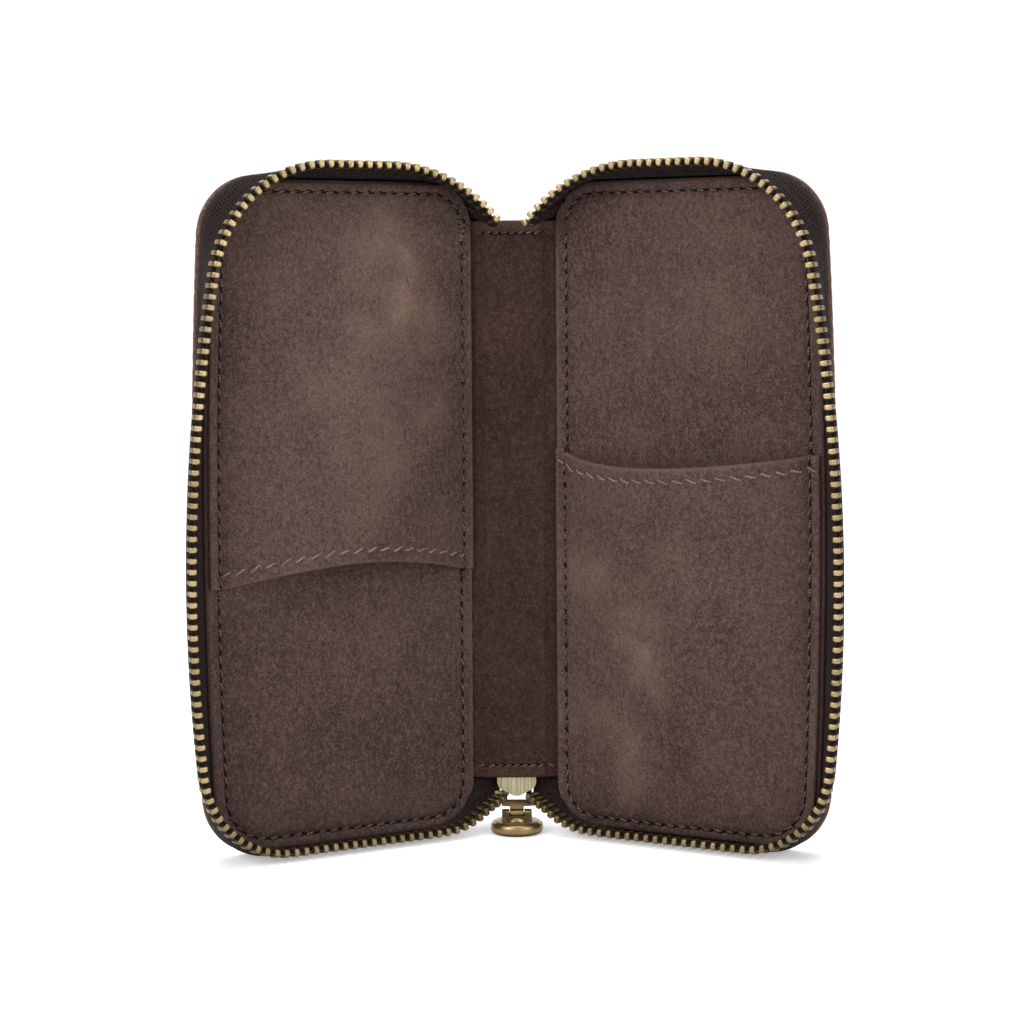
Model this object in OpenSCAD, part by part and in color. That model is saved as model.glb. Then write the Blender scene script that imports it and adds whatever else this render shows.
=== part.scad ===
// Zip-round travel case: two stiff leather covers on a soft spine, each with a
// standing wall of zip tape, brass teeth, a suede lining and one pocket. It stands open on its
// lower edges. X is to the right, Y to the back of the spine, Z up, all in millimetres.

/* [Case] */
// Height of each cover
case_h = 150; // [138:1:165]
// Reach of a cover at mid height, from the line where its back leaves the spine
cover_w = 71; // [64:1:78]
// Angle that each cover is folded forward of flat
open_angle = 30; // [24:1:36]
// Half the distance between the lines where the two backs leave the spine
back_half = 9; // [8.4:0.1:9.6]
// Half the width of the spine's stiff layers
spine_half = 7.2; // [6.6:0.1:7.4]
// How far the spine stops short of the covers' lower edge
foot_drop = 11.8; // [11:0.1:13]
// How far the spine stops short of the covers' upper edge
head_drop = 10; // [9.5:0.1:12]
// Start of a cover's stiff layers, from the line where its back leaves the spine
inner_edge = 3.5; // [3.2:0.1:5]
// Depth of the fold line under the back of a cover
fold_depth = 3; // [2.6:0.1:3.4]

/* [Layers] */
// Thickness of the outer leather
leather_t = 1.4; // [1:0.1:1.8]
// Thickness of the stiffening board
board_t = 1; // [0.6:0.1:1.4]
// Thickness of the padding in the covers
pad_t = 2; // [1.4:0.1:2.4]
// Thickness of the suede lining
lining_t = 1; // [0.6:0.1:1.3]
// Distance from a cover's edge to its lining
lining_inset = 2; // [1.6:0.1:3]
// Distance from a cover's edge to its padding
pad_inset = 4; // [3:0.5:6]
// Distance from a cover's edge to its board
board_inset = 8; // [7.5:0.5:10]

/* [Cover outline] */
// Radius of the covers' outer corners
corner_r = 14; // [10:0.5:18]
// Radius of the covers' corners beside the spine
inner_r = 11; // [9:0.5:13]
// How far the long outer edge bows
side_bow = 1.5; // [0.5:0.1:3]

/* [Zip wall] */
// Height of the zip's middle plane above the back of a cover
wall_h = 13.3; // [12.8:0.1:15]
// Thickness of the zip tape
tape_t = 0.8; // [0.5:0.1:0.9]
// Distance from a cover's edge to the foot of the tape wall
tape_inset = 1; // [0.8:0.1:1.4]
// Width of the tape sewn under the lining
hem_w = 5; // [3:0.5:6]
// How far the teeth stand outside the cover where they stand out furthest
chain_flare = 5.3; // [3:0.1:7]
// How far the row of teeth bows along the long outer edge
chain_bow = 3.4; // [2:0.1:5]
// Height at which the row of teeth stands out furthest
chain_mid = 61; // [55:1:80]
// Height of the lower row of teeth above the cover's lower edge
chain_foot = 2; // [1.8:0.1:3.5]
// Height of the upper row of teeth above the cover's upper edge
chain_rise = 2.1; // [0:0.1:3]
// Radius of the row of teeth at the upper outer corner, which it cuts
chain_shoulder_r = 28; // [22:0.5:32]
// Radius of the row of teeth at the lower outer corner
chain_corner_r = 21; // [15:0.5:24]
// Radius of the upper row of teeth where it runs down to the spine
head_r = 36; // [30:0.5:44]
// Where the upper row of teeth starts to run down
head_run = 28; // [25:0.5:32]
// Where the lower row of teeth leaves the stiff wall
tail_run = 18; // [17:0.5:22]

/* [Teeth] */
// Distance from one tooth to the next on one tape
pitch = 2.35; // [2.3:0.05:2.8]
// Thickness of a tooth's head along the tape
head_t = 1.05; // [0.8:0.05:1.1]
// Radius of the round nib on a tooth's head
nib_r = 0.4; // [0.3:0.05:0.5]
// How far the nib stands off the head, into the hollow of the next tooth
nib_rise = 0.28; // [0.2:0.02:0.3]
// Thickness of a tooth's legs along the tape
leg_t = 1.2; // [0.9:0.05:1.5]
// Width of a tooth across its legs
tooth_w = 2.2; // [1.9:0.1:2.4]
// Radius of a tooth's round head
tooth_r = 0.9; // [0.7:0.05:1]
// How far a head reaches past the zip's middle plane
bite = 0.8; // [0.6:0.05:0.9]
// Depth of a tooth's legs
leg_d = 1.7; // [1.4:0.1:2.2]
// Height of the web that joins a tooth's legs over the edge of the tape
web_t = 0.4; // [0.2:0.05:0.6]

/* [Pockets] */
// Height of the left pocket's mouth, which faces down
left_mouth = 59.5; // [50:0.5:70]
// Height of the right pocket's mouth, which faces up
right_mouth = 88.8; // [80:0.5:98]
// Depth of the curve in a pocket's mouth
mouth_dip = 3.6; // [1:0.1:6]
// Room inside a pocket at its mouth
pocket_room = 6.4; // [5.8:0.1:6.6]
// Thickness of a pocket's suede
pocket_t = 0.9; // [0.6:0.1:1]
// Distance from a cover's edge to the pocket's edge
pocket_inset = 2.4; // [2.2:0.1:4]
// Width of the flat margin that a pocket is sewn down on
seam_margin = 2.5; // [1.5:0.1:4]

/* [Slider] */
// Length of the slider
slider_l = 10; // [9:0.5:11]
// Width of the slider across its shoulders
slider_w = 9; // [8.6:0.1:9.4]
// Width of the slider's tail
slider_tail_w = 6.9; // [6.5:0.1:7.4]
// Thickness of each of the slider's two plates
wing_t = 0.9; // [0.7:0.05:1]
// Room between the slider's two plates
channel = 2.4; // [2.3:0.05:2.8]
// Height of the slider's nose above the ground
nose_z = 7.4; // [7.2:0.1:8.4]
// Thickness of the bridge that holds the pull
bridge_t = 0.9; // [0.7:0.1:1.1]
// Width of the bridge that holds the pull
bridge_w = 2; // [1.6:0.1:2.4]

/* [Pull] */
// Radius of the round bar that turns under the bridge
bar_r = 0.7; // [0.5:0.05:0.8]
// Outer width of the pull's frame
frame_w = 7; // [6.6:0.1:7.4]
// Thickness of the pull's frame and stem
link_t = 1; // [0.8:0.05:1.1]
// Width of the pull's stem
stem_w = 3.2; // [2.8:0.1:3.4]
// Distance from the bar to the ring's pin
link_l = 7.9; // [7.5:0.1:8.5]
// Angle that the pull hangs forward and down
link_slope = 57; // [54:1:60]
// Radius of the ring's pin
pin_r = 0.6; // [0.4:0.05:0.7]
// Radius of the eye at the end of the stem
eye_r = 1.2; // [1.05:0.05:1.3]
// Outer radius of the round ring
ring_r = 6; // [5.5:0.1:6.6]
// Radius of the hole in the ring
ring_hole_r = 2.4; // [2:0.1:2.7]
// Thickness of the ring
ring_t = 2.8; // [2.4:0.1:3]

/* [Hidden] */
$fn = 48;

// Small gaps: a pin's running fit, a free gap between pieces, a sliding fit and a gap under a seam
fit_gap = 0.06;
free_gap = 0.3;
slip = 0.1;
touch_gap = 0.02;

// How far a cut runs past the face that it goes through
past = 1;

// Layer heights above the back of a cover
board_n = leather_t;
pad_n = board_n + board_t;
lining_n = pad_n + pad_t;
face_n = lining_n + lining_t;

// The spine's layers: a hollow between leather and lining takes the slider
slider_d = 2 * wing_t + channel;
spine_hollow = slider_d + 2 * slip;
spine_pad_t = spine_hollow - board_t;
spine_lining_y = -(leather_t + spine_hollow);
spine_front_y = spine_lining_y - lining_t;
// The lining, the board and the padding stop short of the spine leather's sides and head
lining_back = 0.5;
filling_back = 0.8;
filling_drop = 3;
spine_lining_half = spine_half - lining_back;
spine_filling_half = spine_half - filling_back;
spine_foot = foot_drop;
spine_head = case_h - head_drop;
slider_mid_y = -(leather_t + spine_hollow / 2);
slider_tail_z = nose_z + slider_l;
stop_h = 1.4;
stop_w = 4.4;
hollow_top = slider_tail_z + 2 * free_gap + stop_h;
spine_pad_head = spine_head - free_gap - filling_drop;

// The notch in the spine's leather, where the pull swings through
notch_side = 1.3;
notch_rise = 1.2;
notch_half = frame_w / 2 + notch_side;
notch_top = slider_tail_z + notch_rise;

// The fold line of a cover, so that a closed cover's zip meets the other at the middle plane
fold_u = (wall_h - fold_depth - back_half + fold_depth * sin(open_angle)) / cos(open_angle);
fold_x = back_half + fold_u * cos(open_angle) - fold_depth * sin(open_angle);
fold_y = -fold_u * sin(open_angle) - fold_depth * cos(open_angle);

// Tooth heights, measured from the middle plane towards the tape
leg_top = bite + slip;
leg_foot = leg_top + leg_d;
tape_top = leg_top + web_t;
slot_half = tape_t / 2 + slip / 2;

// The pull's turning points and the bridge over its bar
bridge_rise = 0.4;
bar_lift = 0.4;
bridge_gap = bar_r + slip;
bar_z = nose_z + bridge_rise + bridge_t + bridge_gap;
bar_y = slider_mid_y + slider_d / 2 + free_gap + bar_r + bar_lift;
pin_y = bar_y - link_l * cos(link_slope);
pin_z = bar_z - link_l * sin(link_slope);
bridge_top_y = bar_y + bar_r + free_gap + bridge_t;
ring_y = pin_y - ring_r - 0.1;

// The whole case is moved in depth so that the origin is under the middle of its box
reach_front = (cover_w + chain_flare) * sin(open_angle)
    + (wall_h + bite - tooth_r) * cos(open_angle) + tooth_r;
origin_y = (reach_front - bridge_top_y) / 2;

// A straight or round stretch of an edge: [length, straight, start or centre, end or radius, angles]
function straight(p, q) = [norm(q - p), true, p, q];
function bend(c, r, a, b) = [r * abs(b - a) * PI / 180, false, c, r, a, b];

// Point and direction of travel on a stretch, at a share f of its length
function on_stretch(g, f) = g[1]
    ? g[2] + f * (g[3] - g[2])
    : g[2] + g[3] * [cos(g[4] + f * (g[5] - g[4])), sin(g[4] + f * (g[5] - g[4]))];
function along_stretch(g, f) = g[1]
    ? (g[3] - g[2]) / g[0]
    : sign(g[5] - g[4]) * [-sin(g[4] + f * (g[5] - g[4])), cos(g[4] + f * (g[5] - g[4]))];

// Radius of a bow that rises by sag over a half chord
function bow_radius(half, sag) = (half * half + sag * sag) / (2 * sag);

// Where a corner of radius r touches a bow that it lies rise above: how far out, and the lean there
function corner_place(bow_r, r, rise) =
    let (out = sqrt(pow(bow_r - r, 2) - rise * rise))
    [out, atan2(rise, out)];

// An edge runs from the spine out along the top, down the long side, which bows out most at mid, and
// back along the bottom. corners holds the radii of its upper and lower outer corners. upper and lower
// each hold where the edge bends to the spine, with what radius and how far.
function edge(reach, foot, head, mid, bow_r, corners, upper, lower) =
    let (
        bow_u = reach - bow_r,
        high = corner_place(bow_r, corners[0], head - corners[0] - mid),
        low = corner_place(bow_r, corners[1], mid - foot - corners[1]),
        high_u = bow_u + high[0],
        low_u = bow_u + low[0]
    )
    concat(
        upper[2] > 0 ? [bend([upper[0], head - upper[1]], upper[1], 90 + upper[2], 90)] : [],
        [
            straight([upper[0], head], [high_u, head]),
            bend([high_u, head - corners[0]], corners[0], 90, high[1]),
            bend([bow_u, mid], bow_r, high[1], -low[1]),
            bend([low_u, foot + corners[1]], corners[1], -low[1], -90),
            straight([low_u, foot], [lower[0], foot])
        ],
        lower[2] > 0 ? [bend([lower[0], foot + lower[1]], lower[1], -90, -90 - lower[2])] : []
    );

board_turn = inner_r + 4;
pad_turn = inner_r + 3;
lining_turn = inner_r + 3;
board_side = 2;
pad_side = 1;
lining_side = 0.4;
cover_bow_r = bow_radius(case_h / 2 - corner_r, side_bow);
chain_bow_r = bow_radius(case_h / 2 - (chain_corner_r + chain_shoulder_r) / 2, chain_bow);

// The edge of a cover, moved in by inset, with the bends next to the spine as given
function cover_edge(inset, upper, lower) =
    let (r = corner_r - inset)
    edge(cover_w - inset, inset, case_h - inset, case_h / 2, cover_bow_r - inset, [r, r], upper, lower);

// The edge of a cover's layer, moved in by inset and by side next to the spine, where it turns with
// radius turn. The layers over the tape's hem turn there in a wider bend.
function layer_edge(inset, side, turn) =
    let (corner = [inner_edge + side + turn, turn, 90])
    cover_edge(inset, corner, corner);

// The foot of the tape wall. It stops part of the way round the upper corner beside the spine, and
// where the lower row of teeth leaves the wall.
wall_sweep = 60;
function wall_foot(inset) =
    cover_edge(inset, [inner_edge + inner_r, inner_r - inset, wall_sweep], [tail_run, 0, 0]);

// The line of the teeth, in the zip's middle plane
head_z = case_h + chain_rise;
head_over = 1.2;
head_sweep = asin((head_run - inner_edge + head_over) / head_r);
tooth_line = edge(cover_w + chain_flare, chain_foot, head_z, chain_mid, chain_bow_r,
    [chain_shoulder_r, chain_corner_r], [head_run, head_r, head_sweep], [tail_run, 0, 0]);

// Counts of steps for each stretch of the tape wall
wall_steps = [11, 4, 14, 16, 12, 6];
function outline_steps(g) = g[1] ? 1 : (g[0] > case_h / 3 ? 14 : 9);
function outline(edge) = concat(
    [for (g = edge) for (i = [0:outline_steps(g) - 1]) on_stretch(g, i / outline_steps(g))],
    [on_stretch(edge[len(edge) - 1], 1)]);

// Length of an edge, and the point and direction a distance s along it
function edge_length(e, i = 0) = i < len(e) ? e[i][0] + edge_length(e, i + 1) : 0;
function at(e, s, i = 0) = s <= e[i][0] || i == len(e) - 1
    ? [on_stretch(e[i], s / e[i][0]), along_stretch(e[i], s / e[i][0])]
    : at(e, s - e[i][0], i + 1);
row_length = edge_length(tooth_line);

// Left cover: u runs out from the spine, n up from its back, z up. These give its place.
module left_cover_place() {
    translate([-back_half, 0, 0]) rotate([0, 0, 180 + open_angle]) children();
}
function placed(u, n, z) = [
    -back_half - u * cos(open_angle) + n * sin(open_angle),
    -u * sin(open_angle) - n * cos(open_angle),
    z];
module on_left() {
    translate([0, origin_y, 0]) left_cover_place() children();
}
module on_right() {
    mirror([1, 0, 0]) on_left() children();
}
module at_spine() {
    translate([0, origin_y, 0]) children();
}
module at_spine_right() {
    mirror([1, 0, 0]) at_spine() children();
}

// A layer of a cover between two heights above its back
module layer(n0, n1, points) {
    translate([0, n1, 0]) rotate([90, 0, 0]) linear_extrude(n1 - n0) polygon(points);
}

// A closed sheet of thickness t around a grid of points; its faces follow the grid's own slope
function cross_dir(g, i, j) =
    let (
        a = g[min(i + 1, len(g) - 1)][j] - g[max(i - 1, 0)][j],
        b = g[i][min(j + 1, len(g[0]) - 1)] - g[i][max(j - 1, 0)],
        c = cross(a, b)
    )
    c / norm(c);
module sheet(g, t) {
    rows = len(g);
    cols = len(g[0]);
    count = rows * cols;
    side = [for (i = [0:rows - 1]) for (j = [0:cols - 1]) cross_dir(g, i, j) * t / 2];
    flat = [for (i = [0:rows - 1]) for (j = [0:cols - 1]) g[i][j]];
    points = concat([for (k = [0:count - 1]) flat[k] + side[k]], [for (k = [0:count - 1]) flat[k] - side[k]]);
    quads = [for (i = [0:rows - 2]) for (j = [0:cols - 2])
        [i * cols + j, i * cols + j + 1, (i + 1) * cols + j + 1, (i + 1) * cols + j]];
    rim = concat(
        [for (j = [0:cols - 2]) [j, j + 1]],
        [for (i = [0:rows - 2]) [i * cols + cols - 1, (i + 1) * cols + cols - 1]],
        [for (j = [0:cols - 2]) [rows * cols - 1 - j, rows * cols - 2 - j]],
        [for (i = [0:rows - 2]) [(rows - 1 - i) * cols, (rows - 2 - i) * cols]]);
    faces = concat(
        [for (q = quads) [q[0], q[1], q[2]]],
        [for (q = quads) [q[0], q[2], q[3]]],
        [for (q = quads) [q[0] + count, q[2] + count, q[1] + count]],
        [for (q = quads) [q[0] + count, q[3] + count, q[2] + count]],
        [for (r = rim) [r[0], r[1] + count, r[1]]],
        [for (r = rim) [r[0], r[0] + count, r[1] + count]]);
    polyhedron(points, faces, convexity = 8);
}

// The tape wall: a hem under the lining, a bend at the cover's edge, a lean out to the teeth and
// a straight top that the teeth are clamped on
hem_n = leather_t + tape_t / 2;
lean_rise = 2.4;
lean_foot_n = hem_n + lean_rise;
lean_head_n = wall_h - leg_foot - 2 * slip;
function ease(f) = f * f * (3 - 2 * f);
lean_shares = [0, 0.22, 0.5, 1];
wall_rows = [
    [hem_n, tape_inset + hem_w, 0],
    [hem_n, tape_inset + tape_t, 0],
    for (f = lean_shares) [lean_foot_n + f * (lean_head_n - lean_foot_n), tape_inset, f],
    [wall_h - tape_top, tape_inset, 1]];

// The wall's stations are shares of the whole row of teeth. Each lies at the same share of the foot.
function start_of(e, k) = k > 0 ? e[k - 1][0] + start_of(e, k - 1) : 0;
wall_stations = concat(
    [for (k = [0:len(wall_steps) - 1]) for (i = [0:wall_steps[k] - 1])
        (start_of(tooth_line, k) + i / wall_steps[k] * tooth_line[k][0]) / row_length],
    [1]);
function wall_point(foot, row, f) =
    let (
        a = at(foot, f * edge_length(foot))[0],
        b = at(tooth_line, f * row_length)[0],
        p = a + ease(row[2]) * (b - a)
    )
    [p[0], row[0], p[1]];
function wall_row(row) =
    let (foot = wall_foot(row[1]))
    [for (f = wall_stations) wall_point(foot, row, f)];
module tape_wall() {
    sheet([for (r = wall_rows) wall_row(r)], tape_t);
}

// One tooth, with its head up Z, the tape's run along X and the tape's thickness along Y. The nib
// on one side of its head goes into the hollow of the tooth across the zip.
nib_depth = nib_rise - (pitch / 2 - head_t) + slip;
neck_w = 0.8 * tooth_w;
module tooth() {
    difference() {
        union() {
            translate([-head_t / 2, 0, 0]) rotate([90, 0, 90]) linear_extrude(head_t) union() {
                translate([0, bite - tooth_r]) circle(tooth_r, $fn = 24);
                translate([-neck_w / 2, -leg_top - web_t / 2]) square([neck_w, leg_top + web_t / 2]);
            }
            rotate([0, 90, 0]) cylinder(r1 = 2 * nib_r, r2 = nib_r / 2, h = head_t / 2 + nib_rise, $fn = 16);
        }
        translate([-head_t, 0, 0]) rotate([0, 90, 0])
            cylinder(r = nib_r + slip, h = head_t / 2 + nib_depth, $fn = 16);
    }
    translate([-leg_t / 2, 0, 0]) rotate([90, 0, 90]) linear_extrude(leg_t) difference() {
        translate([-tooth_w / 2, -leg_foot]) square([tooth_w, leg_d]);
        translate([-slot_half, -leg_foot - 1]) square([2 * slot_half, leg_foot - tape_top + 1]);
    }
}

// Places a child with X along t, Y along s and Z along h at point p
module framed(p, t, s, h) {
    multmatrix([
        [t[0], s[0], h[0], p[0]],
        [t[1], s[1], h[1], p[1]],
        [t[2], s[2], h[2], p[2]],
        [0, 0, 0, 1]]) children();
}

// A row of teeth along the wall of a cover; the two rows are half a pitch apart. The loose ends
// carry on at the same pitch.
row_margin = pitch / 2;
function row_rest(first) = pitch - (row_length - first) + pitch * floor((row_length - first) / pitch);
module tooth_row(first) {
    for (s = [first:pitch:row_length]) {
        q = at(tooth_line, s);
        t = [q[1][0], 0, q[1][1]];
        framed([q[0][0], wall_h, q[0][1]], t, cross([0, 1, 0], t), [0, 1, 0]) tooth();
    }
}

// A smooth run through four points, at a share f between the two in the middle
function smooth(a, b, c, d, f) = 0.5 * (2 * b + (c - a) * f
    + (2 * a - 5 * b + 4 * c - d) * f * f + (3 * b - 3 * c + d - a) * f * f * f);
function run_point(k, x) =
    let (
        i = min(floor(x), len(k) - 2),
        a = i > 0 ? k[i - 1] : 2 * k[0] - k[1],
        d = i < len(k) - 2 ? k[i + 2] : 2 * k[i + 1] - k[i]
    )
    smooth(a, k[i], k[i + 1], d, x - i);
function unit(v) = v / norm(v);

// The loose ends of the zip, from the wall to the spine: the teeth's line, the tape's other edge
// and the angle that each tooth has turned towards the middle of the case
foot_z = chain_foot;
chain_end_z = head_z - head_r * (1 - cos(head_sweep));
chain_end_u = head_run - head_r * sin(head_sweep);

// The lower end bends down to the slider's mouth. Each row holds how far a knot lies along from the
// wall, down towards the cover and up. The tape's other edge dips between leather and lining.
bottom_bends = [[5.3, 0.2, 0.3], [10.6, 1.1, 1.7], [15.7, 3, 3.7]];
bottom_hem_bends = [[5, 0.5, 0.6], [11.1, 0.8, 3.6]];
bottom_turn = 50;
mouth_in = 0.6;
mouth_fore = 1.4;
mouth_drop = 0.5;
hem_side = 1;
hem_dip = 1.2;
hem_under = 0.6;
bottom_line = concat(
    [placed(tail_run, wall_h, foot_z)],
    [for (b = bottom_bends) placed(tail_run - b[0], wall_h - b[1], foot_z + b[2])],
    [[mouth_in - slider_tail_w / 2, slider_mid_y - mouth_fore, nose_z - mouth_drop]]);
bottom_hem = concat(
    [placed(tail_run, lean_foot_n, tape_inset)],
    [for (b = bottom_hem_bends) placed(tail_run - b[0], lean_foot_n - b[1], tape_inset + b[2])],
    [placed(inner_edge + hem_side, lean_foot_n - hem_dip, spine_foot - hem_under),
     [-slider_w / 2 - hem_under, slider_mid_y, spine_foot + 2 * hem_under]]);

// The upper end runs straight on from the row of teeth, and its tape lies over the spine lining's edge.
// Each row of knots is measured from the spine leather's side, from the back of the lining and up.
top_step = 1.85;
top_back = 0.3;
top_turn = 25;
top_corner = [inner_edge + inner_r, case_h - inner_r];
top_hem_knots = [[-1.4, 1.4, 0.9], [1, 1.2, 2.1]];
function on_from_row(s) =
    placed(chain_end_u - s * cos(head_sweep), wall_h, chain_end_z - s * sin(head_sweep));
top_line = [
    on_from_row(0),
    on_from_row(top_step),
    on_from_row(2 * top_step) + [0, top_back, 0]];
top_hem = concat(
    [placed(top_corner[0] - (inner_r - tape_inset) * sin(wall_sweep), lean_foot_n,
        top_corner[1] + (inner_r - tape_inset) * cos(wall_sweep))],
    [for (k = top_hem_knots) [k[0] - spine_half, spine_lining_y + k[1], spine_head + k[2]]]);

// Direction of a loose end at x, and the direction of a tooth's head there, square to it
near_by = 0.02;
function run_dir(line, x) = unit(run_point(line, x + near_by) - run_point(line, max(0, x - near_by)));
function head_dir(line, x, turn) =
    let (
        a = open_angle + turn * x / (len(line) - 1),
        h = [sin(a), -cos(a), 0],
        t = run_dir(line, x)
    )
    unit(h - (h * t) * t);

// Places on a loose end by distance: a fine run of points and how far each lies along it
run_steps = 60;
function fine_run(line) = [for (i = [0:run_steps]) i * (len(line) - 1) / run_steps];
function run_lengths(line) =
    let (p = [for (x = fine_run(line)) run_point(line, x)])
    [for (i = 0, s = 0; i <= run_steps; s = s + (i < run_steps ? norm(p[i + 1] - p[i]) : 0), i = i + 1) s];
function run_share(line, lengths, s) =
    let (i = max([for (k = [0:run_steps - 1]) if (lengths[k] <= s) k]))
    (i + (s - lengths[i]) / (lengths[i + 1] - lengths[i])) * (len(line) - 1) / run_steps;

// Teeth on a loose end, a pitch apart from the first, and the tape between them and the hem. The
// nibs face the way given, so that they match the row on the wall.
module end_teeth(line, turn, first, way) {
    lengths = run_lengths(line);
    for (s = [first:pitch:lengths[run_steps] - leg_t]) {
        x = run_share(line, lengths, s);
        t = way * run_dir(line, x);
        h = head_dir(line, x, turn);
        framed(run_point(line, x), t, cross(h, t), h) tooth();
    }
}
end_rows = len(lean_shares) - 1;
end_tape_t = 0.7 * tape_t;
module end_tape(line, hem, turn, start, steps) {
    last = len(line) - 1;
    grid = [for (r = [0:end_rows + 1]) [for (i = [0:steps])
        let (
            x = start + i * (last - start) / steps,
            h = head_dir(line, x, turn),
            a = run_point(hem, x),
            b = run_point(line, x) - tape_top * h,
            d = run_point(line, x) - (leg_foot + slip) * h - a,
            up = (d * h) * h,
            f = lean_shares[min(r, end_rows)]
        )
        r > end_rows ? b : a + f * up + ease(f) * (d - up)]];
    sheet(grid, end_tape_t);
}

// A pocket: a suede sheet sewn to the lining on three sides, standing off it at the mouth
function side_cut(gap, r) = gap >= r ? 0 : r - sqrt(max(0, r * r - pow(r - gap, 2)));
pocket_cols = 20;
pocket_rows = 16;
pocket_swell = 0.9;
pocket_fade = 1.6;
function pocket_point(i, j, mouth, far) =
    let (
        s = min(max((i - 1) / (pocket_cols - 2), 0), 1),
        f = j / pocket_rows,
        lip = mouth + (far > mouth ? 1 : -1) * mouth_dip * sin(180 * s),
        z = lip + f * (far - lip),
        gap = abs(far - z) + pocket_inset - lining_inset,
        near = inner_edge + lining_side + slip + side_cut(gap, lining_turn),
        wide = cover_w - pocket_inset - side_cut(gap, corner_r - lining_inset)
            - side_bow * pow((z - case_h / 2) / (case_h / 2 - corner_r), 2),
        u = i == 0 ? near : i == pocket_cols ? wide
            : near + seam_margin + s * (wide - near - 2 * seam_margin)
    )
    [
        u,
        face_n + pocket_t / 2 + touch_gap
            + pocket_room * pow(sin(180 * s), pocket_swell) * cos(90 * pow(f, pocket_fade)),
        z
    ];
module pocket(mouth, far) {
    grid = [for (j = [0:pocket_rows]) [for (i = [0:pocket_cols]) pocket_point(i, j, mouth, far)]];
    sheet(far > mouth ? grid : [for (j = [0:pocket_rows]) grid[pocket_rows - j]], pocket_t);
}

// A strip in plan from a spine edge to a cover edge, with a bend towards its corner point
function bent(p, c, q, n = 8) = [for (i = [0:n]) let (f = i / n)
    (1 - f) * (1 - f) * p + 2 * f * (1 - f) * c + f * f * q];
function flat2(p) = [p[0], p[1]];
function backwards(l) = [for (i = [0:len(l) - 1]) l[len(l) - 1 - i]];
module leather_fold() {
    u = inner_edge - free_gap;
    outer = bent([-spine_half, 0], [-back_half, 0], flat2(placed(u, 0, 0)));
    inner = bent([-spine_half, -leather_t], [-back_half + leather_t * sin(open_angle), -leather_t],
        flat2(placed(u, leather_t, 0)));
    translate([0, 0, spine_foot]) linear_extrude(spine_head - spine_foot)
        polygon(concat(outer, backwards(inner)));
}
module lining_fold() {
    u = inner_edge + lining_side - free_gap;
    translate([0, 0, spine_foot]) linear_extrude(spine_head - spine_foot) polygon([
        [-spine_lining_half, spine_lining_y],
        flat2(placed(u, lining_n, 0)),
        flat2(placed(u, face_n, 0)),
        [-spine_lining_half, spine_front_y]]);
}

// A flat spine layer, seen from the front and given its depth from y1 back to y0
module spine_layer(y0, y1, half, foot, head) {
    translate([-half, y1, foot]) cube([2 * half, y0 - y1, head - foot]);
}

// Half outline of a slider plate, from its nose up to its tail. Each row holds half the width, the
// height above the nose, and the shares of an inner cut that move it in and up.
plate_rows = [
    [0.7, 0, 0, 1],
    [slider_w / 2 - 0.9, 1.5, 0, 1],
    [slider_w / 2 - 0.3, 2.1, 1, 0],
    [slider_w / 2, 3, 1, 0],
    [slider_w / 2, 5.2, 1, 0],
    [slider_tail_w / 2, slider_l - 0.5, 1, 0],
    [slider_tail_w / 2 - 0.5, slider_l, 1, 0]];
function plate(cut) = [for (r = plate_rows) [r[0] - r[2] * cut, nose_z + r[1] + r[3] * cut]];
function mirrored(l) = [for (p = backwards(l)) [-p[0], p[1]]];
module plate_shape(cut = 0) {
    polygon(concat(plate(cut), mirrored(plate(cut))));
}
module upright(y0, y1) {
    translate([0, y1, 0]) rotate([90, 0, 0]) linear_extrude(y1 - y0) children();
}
// The flanges start above the nose, where the two rows of teeth come in. Their inner outline is drawn
// out past the tail, so that the zip can leave there. The wedge between the plates parts the teeth.
flange_t = 0.6;
flange_rise = 2.6;
tail_draw = 1.2;
tape_slot = tape_t + slip;
wedge_half = 0.8;
wedge_rises = [0.4, 1.8, 4.2];
module slider() {
    front = slider_mid_y - slider_d / 2;
    back = slider_mid_y + slider_d / 2;
    upright(front, front + wing_t) plate_shape();
    upright(back - wing_t, back) plate_shape();
    for (y = [front + wing_t, slider_mid_y + tape_slot / 2])
        upright(y, y + (channel - tape_slot) / 2) intersection() {
            difference() {
                plate_shape();
                translate([0, -flange_t]) scale([1, tail_draw]) plate_shape(flange_t);
            }
            translate([-slider_w, nose_z + flange_rise]) square([2 * slider_w, slider_l]);
        }
    upright(front + wing_t, back - wing_t) translate([0, nose_z]) polygon([
        [0, wedge_rises[0]], [wedge_half, wedge_rises[1]],
        [0, wedge_rises[2]], [-wedge_half, wedge_rises[1]]]);
}

// The bridge is an arch that stands on the slider's back plate, seen from the side
bridge_corner_r = 1.5;
bridge_inside_r = 0.4;
bridge_drop = 1.6;
module rounded_side(y0, y1, z0, z1, r) {
    translate([y0, z0]) square([y1 - y0 - r, z1 - z0]);
    translate([y0, z0 + r]) square([y1 - y0, z1 - z0 - 2 * r]);
    for (z = [z0 + r, z1 - r]) translate([y1 - r, z]) circle(r);
}
module bridge() {
    foot_y = slider_mid_y + slider_d / 2;
    low = nose_z + bridge_rise;
    high = slider_tail_z - bridge_drop;
    translate([-bridge_w / 2, 0, 0]) rotate([90, 0, 90]) linear_extrude(bridge_w) difference() {
        rounded_side(foot_y, bridge_top_y, low, high, bridge_corner_r);
        rounded_side(foot_y - past, bridge_top_y - bridge_t, low + bridge_t, high - bridge_t,
            bridge_inside_r);
    }
}

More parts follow.
